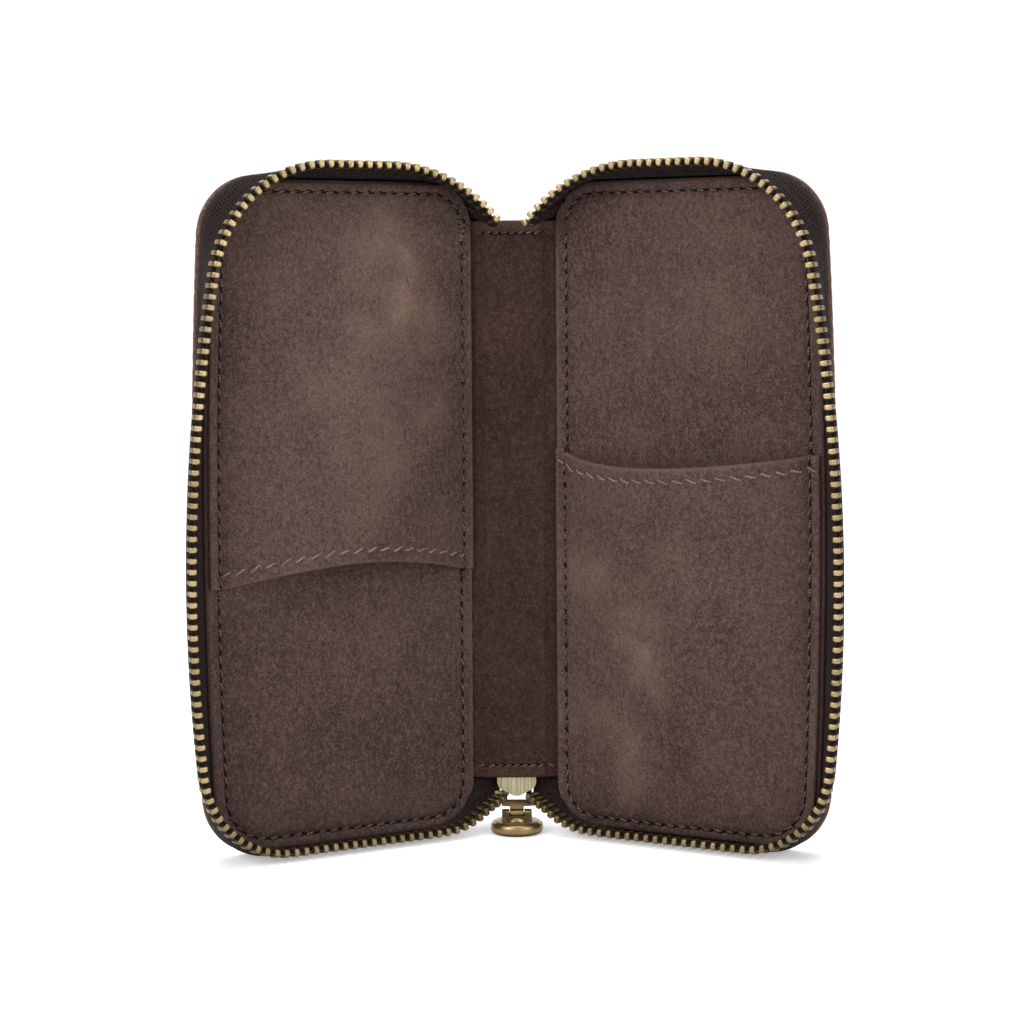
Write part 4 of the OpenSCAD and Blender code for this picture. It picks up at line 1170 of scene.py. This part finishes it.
back_bend = math.sin(OPEN) * LEATHER_T
outer = bezier(np.array([-SPINE_HALF, 0]), np.array([-BACK_HALF, 0]), in_plan(INNER_EDGE, 0), 15)
inner = bezier(np.array([-SPINE_HALF, -LEATHER_T]), np.array([-BACK_HALF + back_bend, -LEATHER_T]),
               in_plan(INNER_EDGE, LEATHER_T), 15)
a, b = strip_grids(outer, inner, FOOT, HEAD, LEATHER_T / 2)
lining_start = np.array([-SPINE_LINING_HALF, SPINE_FRONT_Y])
lining_end = in_plan(INNER_EDGE + 0.9, FACE_N - 1.3)
control = (lining_start + lining_end) / 2 + [0.4, 0.35]
face = bezier(lining_start, control, lining_end, 9)
under = face + [0, 0.95]
c, d = strip_grids(face, under, FOOT, HEAD + 0.3, 0.45)
# Painted highlight along the fold's top edge, as on the spine's lining.
fold_highlight = 0.75 * (1 - np.clip((HEAD + 0.3 - c[..., 2] - 1.6) / 1.6, 0, 1))
for name, side in SIDES.items():
    piece = make_sheet(name + "_fold_skin", b, a, outer_leather, side)
    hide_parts(name + "_leather_fold")
    across_fold(piece, name, (-SPINE_HALF, 0), in_plan(INNER_EDGE, 0))
    piece = make_sheet(name + "_fold_suede", c, d, suede_plain, side, None, fold_highlight)
    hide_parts(name + "_lining_fold")
    across_fold(piece, name, lining_start, lining_end)
    for end, z in CROSS_SEAMS.items():
        row = np.concatenate([face - [0, 0.05], np.full((len(face), 1), z)], 1)[:7]
        up = np.repeat([[0.0, -1.0, 0.0]], len(row), 0)
        piece = make_stitches(name + "_fold_" + end + "_stitches", row, up, side, None,
                              pitch=2.4, length=1.6, r=0.26, lean=0.3, rise=0.28)
        across_fold(piece, name, lining_start, lining_end)
print("folds:", a.shape[:2], "and", c.shape[:2], "grids")

# %% [markdown]
# ## The tape wall
# The zip's tape is sewn in between leather and lining, bends up at the edge of the cover and leans out
# to the line of the teeth. Each column of the wall joins the same share of the foot's length and of the
# row's length, eased at both ends, just as in the solids. A cord is woven into the edge that holds the teeth.

# %% Two walls of tape
WALL_H, TAPE_T, HEM_N, WALL_COLUMNS = 13.3, 0.8, 1.8, 340
TAPE_TOP, LEG_FOOT = 1.3, 2.6
LEAN_LOW, LEAN_HIGH = HEM_N + 2.4, WALL_H - LEG_FOOT - 0.2
FLARE, ROW_BOW, ROW_MID, FOOT_Z, HEAD_Z = 5.3, 3.4, 61.0, 2.0, CASE_H + 2.1
SHOULDER_R, ROW_CORNER_R = 28.0, 21.0
HEAD_RUN, HEAD_R, HEAD_OVER, TAIL_RUN, WALL_SWEEP = 28.0, 36.0, 1.2, 18.0, 60.0
HEAD_SWEEP = math.degrees(math.asin((HEAD_RUN - INNER_EDGE + HEAD_OVER) / HEAD_R))
row_bow = bow_radius(CASE_H / 2 - (SHOULDER_R + ROW_CORNER_R) / 2, ROW_BOW)
tooth_line = Edge(COVER_W + FLARE, FOOT_Z, HEAD_Z, ROW_MID, row_bow, (SHOULDER_R, ROW_CORNER_R),
                  (HEAD_RUN, HEAD_R, HEAD_SWEEP), (TAIL_RUN, 0, 0))


def wall_foot(inset):
    """The line of the tape where it is sewn in, moved in by inset."""
    return cover_edge(inset, (INNER_EDGE + INNER_R, INNER_R - inset, WALL_SWEEP), (TAIL_RUN, 0, 0))


def wall_grid(heights):
    """Middle surface of the tape wall: a row for each (n, inset), a column for each share of its run."""
    shares = np.linspace(0, 1, WALL_COLUMNS)
    top = tooth_line.walk(shares * tooth_line.length)
    rows = []
    for n, inset in heights:
        foot = wall_foot(inset)
        foot = foot.walk(shares * foot.length)
        lean = eased(np.clip((n - LEAN_LOW) / (LEAN_HIGH - LEAN_LOW), 0, 1))
        line = foot + lean * (top - foot)
        rows.append(placed(line[:, 0], np.full(len(line), n), line[:, 1]))
    return np.array(rows)


wall_rows = [(HEM_N, 6.0), (HEM_N, 4.0), (HEM_N, 2.4), (HEM_N + 0.02, 1.5), (HEM_N + 0.22, 0.85),
             (HEM_N + 0.6, 0.5), (HEM_N + 1.1, 0.36)]
wall_rows += [(n, 0.3) for n in np.linspace(HEM_N + 1.8, WALL_H - TAPE_TOP, 22)]
mid = wall_grid(wall_rows)
lay = grid_lay(mid)
for name, side in SIDES.items():
    front, back = thickened(mid, TAPE_T * 0.85)
    piece = make_sheet(name + "_tape_wall", front, back, zip_tape, side, lay)
    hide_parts(name + "_zip_tape")
    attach(piece, name + "_cover")
print("tape wall:", mid.shape[:2], "grid, row of teeth", round(tooth_line.length, 1), "mm long")

# %% [markdown]
# ## Teeth
# A metal tooth is one small casting: a round head with a dimple on top, a nib on one side and a hollow
# on the other, a narrow neck, and two legs that are clamped on the tape. It starts as a rounded box and
# its points are pushed in and out by smooth bumps. One tooth is made and then copied along the line.


# %% One tooth as points and faces
def rounded_box(size, centre, r, cells):
    """Points and faces of a box with round edges: a cube grid pulled on to an inner box."""
    size, f = np.array(size) / 2, np.linspace(-1, 1, cells + 1)
    points, faces = {}, []

    def at(p):
        return points.setdefault(tuple(np.round(p, 6)), len(points))

    for axis in range(3):
        for sign in (-1, 1):
            for i in range(cells):
                for j in range(cells):
                    quad = []
                    for a, b in ((i, j), (i + 1, j), (i + 1, j + 1), (i, j + 1)):
                        p = np.zeros(3)
                        p[axis], p[(axis + 1) % 3], p[(axis + 2) % 3] = sign, f[a], f[b]
                        quad.append(at(p))
                    faces.append(tuple(quad if sign > 0 else quad[::-1]))
    cube = np.array(list(points)) * size
    inner = np.clip(cube, -(size - r), size - r)
    off = cube - inner
    off = off / np.maximum(np.linalg.norm(off, axis=1, keepdims=True), 1e-9)
    return inner + off * r + np.array(centre), faces


TOOTH_R, BITE, HEAD_T, HEAD_W, PITCH = 0.9, 0.8, 1.2, 1.9, 2.35
NECK_SIZE, LEG_SIZE, LEG_SIDE = (0.98, 1.62, 1.3), (0.98, 0.52, 2.2), 0.66


def tooth_shape():
    """Points, faces and painted brightness of one tooth, as wear and painted light: its head up Z, the tape's
    run along X.
    """
    head, head_faces = rounded_box((HEAD_T, HEAD_W, HEAD_W), (0, 0, BITE - HEAD_W / 2), 0.42, 7)
    x, y, z = head.T
    z -= 0.22 * np.clip(np.abs(y) / TOOTH_R, 0, 1) ** 2.2 * (z > 0)
    z -= 0.16 * np.exp(-((x**2 + y**2) / 0.3**2)) * (z > 0.3)
    reach = np.exp(-((y**2 + (z - 0.02) ** 2) / 0.42**2))
    x += 0.24 * reach * (x > 0.2) + 0.14 * reach * (x < -0.2)
    # Head's top paler, as wear and a painted highlight; its sides darker, as painted shade. Neck and legs get
    # fixed shares, the legs paler outside as painted light.
    wear_and_highlight = 0.25 + 0.75 * np.clip((z + 0.15) / 0.6, 0, 1)
    wear_and_highlight = wear_and_highlight * (0.6 + 0.4 * np.clip(1.2 - np.abs(y) / TOOTH_R, 0, 1))
    neck, neck_faces = rounded_box(NECK_SIZE, (0, 0, -1.05), 0.3, 4)
    parts = [(head, head_faces, wear_and_highlight), (neck, neck_faces, np.full(len(neck), 0.35))]
    for way in (-1, 1):
        leg, leg_faces = rounded_box(LEG_SIZE, (0, way * LEG_SIDE, -1.5), 0.22, 5)
        leg[:, 1] += way * 0.1 * np.exp(-(((leg[:, 2] + 1.8) / 0.6) ** 2))
        outside = np.clip(np.abs(leg[:, 1]) - 0.72, 0, 0.3) / 0.3
        parts.append((leg, leg_faces, 0.4 + 0.4 * outside))
    points, faces, wear_and_highlight_parts = [], [], []
    for p, quads, w in parts:
        base = sum(len(q) for q in points)
        points.append(p)
        wear_and_highlight_parts.append(w)
        faces += [tuple(base + i for i in quad) for quad in quads]
    return np.concatenate(points), np.array(faces), np.concatenate(wear_and_highlight_parts)


tooth_points, tooth_faces, tooth_wear_and_highlight = tooth_shape()


def teeth_mesh(name, frames, side):
    """Copies of the tooth in frames, each a point and three directions."""
    points, faces, lays = [], [], []
    for k, (p, t, s, h) in enumerate(frames):
        wobble = 0.03 * math.sin(7.3 * k)
        local = tooth_points + [0.02 * math.sin(3.1 * k), 0, 0.02 * math.cos(4.7 * k)]
        local = local + np.stack([local[:, 1] * wobble, 0 * local[:, 0], 0 * local[:, 0]], -1)
        points.append(p + local[:, :1] * t + local[:, 1:2] * s + local[:, 2:] * h)
        faces.append(tooth_faces + k * len(tooth_points))
        # Teeth low on the case are painted darker, down to half near the ground: painted shade.
        low = 0.5 + 0.5 * min(1.0, max(0.0, p[2] / 22 - 0.1))
        wear_and_highlight = tooth_wear_and_highlight * low * (0.85 + 0.15 * math.sin(5.9 * k + 1.0))
        lays.append(np.stack([wear_and_highlight, np.full(len(wear_and_highlight), float(k))], -1))
    points, faces = np.concatenate(points), np.concatenate(faces).tolist()
    return make_piece(name, points, faces, tooth_brass, side, np.concatenate(lays), 70)


print("one tooth:", len(tooth_points), "points and", len(tooth_faces), "faces")

# %% [markdown]
# The rows of the two sides stand half a pitch apart, so that the teeth mesh when the case is shut. The
# wall isn't quite upright all the way round, and the teeth lean a little in or out with it.

# %% Two rows of teeth on the covers
cover_u = placed(1.0, 0.0, 0.0) - placed(0.0, 0.0, 0.0)
# How far the teeth lean out with the wall, in degrees, at shares of the row's length
LEAN_AT = [0, 0.2, 0.3, 0.38, 0.45, 0.58, 0.72, 0.84, 1]
LEAN_BY = [0, 0, -4, 0, 8, 16, 8, -9, -6]


def row_frames(first):
    """A place and three directions for each tooth of a row, the first one at the distance first."""
    frames = []
    for s in np.arange(first, tooth_line.length, PITCH):
        p, q = tooth_line.walk([s - 0.05, s + 0.05])
        mid = tooth_line.walk([s])[0]
        d = unit(q - p)
        t = d[0] * cover_u + np.array([0, 0, d[1]])
        out = np.cross(t, up_n)
        lean = math.radians(np.interp(s / tooth_line.length, LEAN_AT, LEAN_BY))
        h = math.cos(lean) * up_n + math.sin(lean) * out
        frames.append((placed(mid[0], WALL_H, mid[1]), t, np.cross(h, t), h))
    return frames


FIRST = {"left": PITCH / 2, "right": PITCH}
for name, side in SIDES.items():
    frames = row_frames(FIRST[name])
    piece = teeth_mesh(name + "_teeth_row", frames, side)
    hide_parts(name + "_zip_teeth")
    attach(piece, name + "_cover")
    print(name, "row:", len(frames), "teeth of", len(tooth_faces), "faces")

# %% [markdown]
# ## The zip's loose ends
# Where the zip leaves the stiff cover it is free: at the bottom it twists down into the slider and at
# the top it runs over the spine. The same smooth curve as in the solids leads the teeth, and the tape
# hangs between that curve and its other edge.


# %% Smooth curves through a few points
def run_point(knots, x):
    """A point on the smooth curve through the knots."""
    knots = np.asarray(knots, float)
    i = min(int(x), len(knots) - 2)
    a = knots[i - 1] if i > 0 else 2 * knots[0] - knots[1]
    d = knots[i + 2] if i < len(knots) - 2 else 2 * knots[i + 1] - knots[i]
    b, c, f = knots[i], knots[i + 1], x - i
    return 0.5 * (2 * b + (c - a) * f + (2 * a - 5 * b + 4 * c - d) * f**2 + (3 * b - 3 * c + d - a) * f**3)


def run_dir(knots, x):
    """The way the curve runs at x."""
    return unit(run_point(knots, x + 0.02) - run_point(knots, x - 0.02))


def head_dir(knots, x, turn):
    """The way a tooth's head points, square to the curve."""
    a = OPEN + math.radians(turn) * x / (len(knots) - 1)
    h, t = np.array([math.sin(a), -math.cos(a), 0]), run_dir(knots, x)
    return unit(h - h.dot(t) * t)


def end_frames(knots, turn, first, way):
    """Frames for the teeth of a loose end, a pitch apart."""
    x = np.linspace(0, len(knots) - 1, 61)
    points = np.array([run_point(knots, v) for v in x])
    far = far_along(points)
    frames = []
    for s in np.arange(first, far[-1] - 1.2, PITCH):
        v = np.interp(s, far, x)
        t, h = way * run_dir(knots, v), head_dir(knots, v, turn)
        frames.append((run_point(knots, v), t, np.cross(h, t), h))
    return frames


SKIRT_ROWS, TAPE_ROWS, TOP_DROPS = 5, 14, (2.2, 1.75, TAPE_TOP)


def end_tape(line, hem, skirt, turn, steps, start, stop):
    """Middle surface of a loose end's tape. Its skirt is the part sewn in under the lining."""
    cols = []
    for x in np.linspace(start, stop, steps + 1):
        h = head_dir(line, x, turn)
        low, a, p = run_point(skirt, x), run_point(hem, x), run_point(line, x)
        d = p - (LEG_FOOT + 0.1) * h - a
        up = d.dot(h) * h
        rows = [low + f * (a - low) for f in np.linspace(0, 1, SKIRT_ROWS + 1)[:-1]]
        rows += [a + f * up + eased(f) * (d - up) for f in np.linspace(0, 1, TAPE_ROWS)]
        cols.append(rows + [p - v * h for v in TOP_DROPS])
    return np.array(cols).transpose(1, 0, 2)


print("a loose end's tape has", SKIRT_ROWS + TAPE_ROWS + len(TOP_DROPS), "rows")

# %% [markdown]
# Three curves lead each loose end: the line of its teeth, the hem at the other edge of its tape, and a
# skirt that runs on under the lining and closes the gap there.

# %% Knots of the loose ends
CHAIN_END_Z = HEAD_Z - HEAD_R * (1 - math.cos(math.radians(HEAD_SWEEP)))
CHAIN_END_U = HEAD_RUN - HEAD_R * math.sin(math.radians(HEAD_SWEEP))


def from_row(s):
    """A place that goes on from the row's upper end, at the distance s."""
    a = math.radians(HEAD_SWEEP)
    return placed(CHAIN_END_U - s * math.cos(a), WALL_H, CHAIN_END_Z - s * math.sin(a))


top_line = [from_row(0), from_row(1.85), from_row(3.7) + [0, 0.3, 0]]
sweep = math.radians(WALL_SWEEP)
top_hem = [
    placed(INNER_EDGE + INNER_R - (INNER_R - 1) * math.sin(sweep), LEAN_LOW,
           CASE_H - INNER_R + (INNER_R - 1) * math.cos(sweep)),
    np.array([-1.4 - SPINE_HALF, SPINE_BACK_Y + 1.4, HEAD + 0.9]),
    np.array([1.0 - SPINE_HALF, SPINE_BACK_Y + 1.2, HEAD + 2.1]),
]
top_skirt = [placed(7.8, 2.0, 140.6), np.array([-8.6, -3.2, 138.0]), np.array([-5.0, -4.6, 137.2])]
bends = [(5.3, 0.2, 0.3), (10.6, 1.1, 1.7), (15.7, 3.0, 3.7)]
bottom_line = [placed(TAIL_RUN, WALL_H, FOOT_Z)]
bottom_line += [placed(TAIL_RUN - a, WALL_H - b, FOOT_Z + c) for a, b, c in bends]
SLIDER_TAIL_W, SLIDER_NOSE_Z = 6.9, 7.4
bottom_line += [np.array([0.6 - SLIDER_TAIL_W / 2, SLIDER_MID_Y - 1.4, SLIDER_NOSE_Z - 0.5])]
bottom_line += [np.array([-2.6, SLIDER_MID_Y - 0.2, SLIDER_NOSE_Z + 2])]
bottom_hem = [
    placed(TAIL_RUN, LEAN_LOW, 1.0),
    placed(TAIL_RUN - 5, LEAN_LOW - 0.5, 1.6),
    placed(TAIL_RUN - 11.1, LEAN_LOW - 0.8, 4.6),
    placed(INNER_EDGE + 1, LEAN_LOW - 1.2, FOOT - 0.6),
    np.array([-3.9, SLIDER_MID_Y, FOOT + 1.2]),
    np.array([-3.5, SLIDER_MID_Y, FOOT + 2.6]),
]
bottom_skirt = [
    placed(TAIL_RUN, HEM_N + 0.3, 4.5),
    placed(TAIL_RUN - 5, HEM_N + 0.3, 5.6),
    placed(TAIL_RUN - 11.1, HEM_N + 0.3, 9.0),
    placed(INNER_EDGE + 1, LEAN_LOW - 1.6, FOOT + 3.0),
    np.array([-4.0, SLIDER_MID_Y, FOOT + 4.0]),
    np.array([-3.6, SLIDER_MID_Y, FOOT + 5.0]),
]
print("loose ends start at u =", round(CHAIN_END_U, 2), "and", TAIL_RUN)

# %% [markdown]
# Both ends are made in the same way. The tape hangs between its curves, and the teeth stand a pitch apart
# on their line.


# %% Tapes and teeth of the loose ends
def loose_end(end, knots, turn, cols, reach, bend, z, first, way):
    """Tape and teeth of one end of the zip on both sides. Bend is not used."""
    line, hem, skirt = knots
    mid = end_tape(line, hem, skirt, turn, cols, *reach)
    for name, side in SIDES.items():
        front, back = thickened(mid[:, ::way], LOOSE_TAPE_T)
        piece = make_sheet(name + "_" + end + "_tape", front, back, zip_tape, side)
        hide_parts(name + "_tape_" + end + "_end")
        across_fold(piece, name, *bend, z)
        frames = end_frames(line, turn, first[name], way)
        piece = teeth_mesh(name + "_" + end + "_teeth_loose", frames, side)
        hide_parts(name + "_" + end + "_teeth")
        across_fold(piece, name, *bend, z)
        print(name, end, "end:", len(frames), "teeth")


LOOSE_TAPE_T, TOP_TURN, BOTTOM_TURN = 0.6, 25, 62
top_bend = (np.array([-5.56, -6.55]), np.array([-8.02, -9.45]))
loose_end("top", (top_line, top_hem, top_skirt), TOP_TURN, 18, (-0.35, 1.7), top_bend, 141,
          {"left": PITCH / 2, "right": 0.1}, -1)
foot_axis = np.array([math.cos(OPEN), math.sin(OPEN)])
row_rest = {name: PITCH - (tooth_line.length - first) % PITCH for name, first in FIRST.items()}
loose_end("bottom", (bottom_line, bottom_hem, bottom_skirt), BOTTOM_TURN, 50, (0, len(bottom_line) - 1),
          (-6.5 * foot_axis, -25.6 * foot_axis), 8, row_rest, 1)

# %% [markdown]
# ## The corded edge of the tape
# Between the legs of the teeth a cord thickens the edge of the tape. It is a thin tube along the teeth's
# line, just above the straight top of the wall.

# %% A cord along the tape's edge
CORD_R, CORD_SIDES = 0.56, 8


def cord(name, line, side):
    """A closed tube of tape along a line of points."""
    run = unit(np.gradient(line, axis=0))
    across = unit(np.cross(run, up_n))
    turn = np.arange(CORD_SIDES) * 2 * math.pi / CORD_SIDES
    points = tube_points(line, across, np.cross(across, run), CORD_R, turn)
    lay = np.stack(np.meshgrid(turn * CORD_R, far_along(line))[::-1], -1).reshape(-1, 2)
    return make_piece(name, points, tube_faces(len(line), CORD_SIDES), zip_tape, side, lay, 80)


walked = tooth_line.points(0.6)
cord_line = placed(walked[:, 0], np.full(len(walked), WALL_H - TAPE_TOP - 0.25), walked[:, 1])
for name, side in SIDES.items():
    piece = cord(name + "_tape_cord", cord_line, side)
    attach(piece, name + "_cover")
print("cord:", len(cord_line), "rings on each side")

# %% [markdown]
# ## Pieces that keep their solids
# The slider, the bridge, the stop and the pull are right as they are. A bevel breaks their edges so that
# they catch the light, and each gets its brass. The boards and the foam stay inside.


# %% Finish the solids that stay
def dress(node, finish, bevel=0.0):
    """Gives a solid its finish, and a small bevel where it is metal."""
    piece = bpy.data.objects[node]
    piece.data.materials.clear()
    piece.data.materials.append(finish)
    if bevel:
        weld = piece.modifiers.new("weld", "WELD")
        weld.merge_threshold = 0.000002
        edge = piece.modifiers.new("bevel", "BEVEL")
        edge.width, edge.segments = bevel * MM, 3
        edge.limit_method, edge.angle_limit = "ANGLE", math.radians(32)


metal = {
    "slider_body": (slider_brass, 0.14), "slider_bridge": (brass, 0.16), "zip_bottom_stop": (brass, 0.15),
    "pull_link": (brass, 0.14), "pull_ring": (brass, 0.12), "pull_pin": (brass, 0.08),
}
for node, (finish, bevel) in metal.items():
    dress(node, finish, bevel)
for node in ("spine", "left_cover", "right_cover"):
    dress(node + "_board", stiff_board)
    dress(node + "_padding", soft_foam)
print("solids kept:", len(metal) + 6)

# %% [markdown]
# ## Stage, light and camera
# The case stands on a white sweep in soft studio light. The sweep is a pale floor that keeps the case's
# shadow. It has a little glow of its own, which only the camera and reflections see, so that it comes out
# white and puts no more light on the case. The camera stands level with the upper part of the case, as in
# a product photograph.


# %% The floor and the world
def shown_rays(paint):
    """1 for the rays that show a background: from the camera, off metal and through glass."""
    rays = [paint.node("ShaderNodeLightPath", {}, {}, "Is %s Ray" % kind)
            for kind in ("Camera", "Glossy", "Transmission")]
    return rays[0].at_least(rays[1]).at_least(rays[2])


FLOOR_LIFT = 0.35


def floor_finish(name):
    """A pale floor that glows a little, but only for the rays that show it."""
    paint = Paint(name)
    paint.finish(Base_Color=shade(236, 236, 236), Roughness=0.9, Specular_IOR_Level=0.0)
    plain = Signal(paint, paint.shader.outputs[0])
    glow = paint.node("ShaderNodeEmission", {}, {"Color": (1, 1, 1, 1), "Strength": FLOOR_LIFT})
    both = paint.node("ShaderNodeAddShader", {}, {0: plain, 1: glow})
    shown = paint.node("ShaderNodeMixShader", {}, {0: shown_rays(paint), 1: plain, 2: both})
    paint.tree.links.new(shown.socket, paint.tree.nodes["Material Output"].inputs[0])
    return paint.material


class Sky(Paint):
    """The world's nodes, made in the same way as a material's."""

    def __init__(self, name):
        self.world = bpy.data.worlds.new(name)
        self.world.use_nodes = True
        self.tree = self.world.node_tree
        self.tree.nodes.remove(self.tree.nodes["Background"])

    def light(self, colour, strength):
        """An even light from all round."""
        return self.node("ShaderNodeBackground", {}, {"Color": (*colour, 1), "Strength": strength})


BACK, TURN_R, SWEEP_HALF, SWEEP_TOP = 0.9, 0.6, 3.0, 3.0
mesh = bpy.data.meshes.new("sweep")
profile = [(-2.2, 0.0), (BACK, 0.0)]
profile += [(BACK + TURN_R * math.sin(a), TURN_R - TURN_R * math.cos(a))
            for a in np.linspace(0.1, math.pi / 2, 16)]
profile += [(BACK + TURN_R, SWEEP_TOP)]
verts = [(x, y, z) for y, z in profile for x in (-SWEEP_HALF, SWEEP_HALF)]
mesh.from_pydata(verts, [], [(2 * i, 2 * i + 1, 2 * i + 3, 2 * i + 2) for i in range(len(profile) - 1)])
mesh.polygons.foreach_set("use_smooth", [True] * len(mesh.polygons))
mesh.materials.append(floor_finish("sweep_white"))
sweep_floor = bpy.data.objects.new("sweep", mesh)
bpy.context.scene.collection.objects.link(sweep_floor)

sky = Sky("studio")
room, white = sky.light((1.0, 0.98, 0.96), 0.42), sky.light((1, 1, 1), 1.0)
backdrop = sky.node("ShaderNodeMixShader", {}, {0: shown_rays(sky), 1: room, 2: white})
sky.tree.links.new(backdrop.socket, sky.tree.nodes["World Output"].inputs[0])
bpy.context.scene.world = sky.world
print("stage is set: floor of", len(profile), "rows, sky of", len(sky.tree.nodes), "nodes")


# %% Lamps
def lamp(name, place, aim, width, height, watts, tint=(1, 1, 1)):
    """A soft rectangular lamp at a place, turned to what it lights."""
    data = bpy.data.lights.new(name, "AREA")
    data.shape, data.size, data.size_y = "RECTANGLE", width, height
    data.energy, data.color = watts, tint
    made = bpy.data.objects.new(name, data)
    made.location = place
    made.rotation_euler = (Vector(aim) - Vector(place)).to_track_quat("-Z", "Y").to_euler()
    bpy.context.scene.collection.objects.link(made)


centre = (0, 0, 0.075)
lamp("softbox_left", (-0.75, -0.75, 0.75), centre, 0.7, 0.7, 9.0, (1.0, 0.98, 0.95))
lamp("softbox_right", (0.85, -0.7, 0.55), centre, 0.6, 0.8, 5.0)
lamp("overhead", (0, 0.1, 1.1), centre, 0.9, 0.9, 8.0)
lamp("back_strip", (0.0, 0.8, 0.5), centre, 1.0, 0.4, 3.0)
print("lamps are on")

# %% The camera
# The axis of the view lies 0.207 of the picture's width above its middle, mostly by shift, partly by tilt
SENSOR_W, FOCAL, SHIFT, AXIS_ABOVE = 36.0, 2400 / 1024, 0.15, 0.207
data = bpy.data.cameras.new("camera")
data.sensor_width, data.lens = SENSOR_W, FOCAL * SENSOR_W
data.shift_y = -SHIFT
camera = bpy.data.objects.new("camera", data)
camera.location = (-0.0002, -0.5337, 0.122)
drop = math.atan((AXIS_ABOVE - SHIFT) / FOCAL)
camera.rotation_euler = (math.pi / 2 - drop, math.radians(0.45), 0)
bpy.context.scene.collection.objects.link(camera)
bpy.context.scene.camera = camera
bpy.context.scene.view_settings.view_transform = "Standard"
print("camera lens:", round(data.lens, 1), "mm, tilted down", round(math.degrees(drop), 2), "degrees")
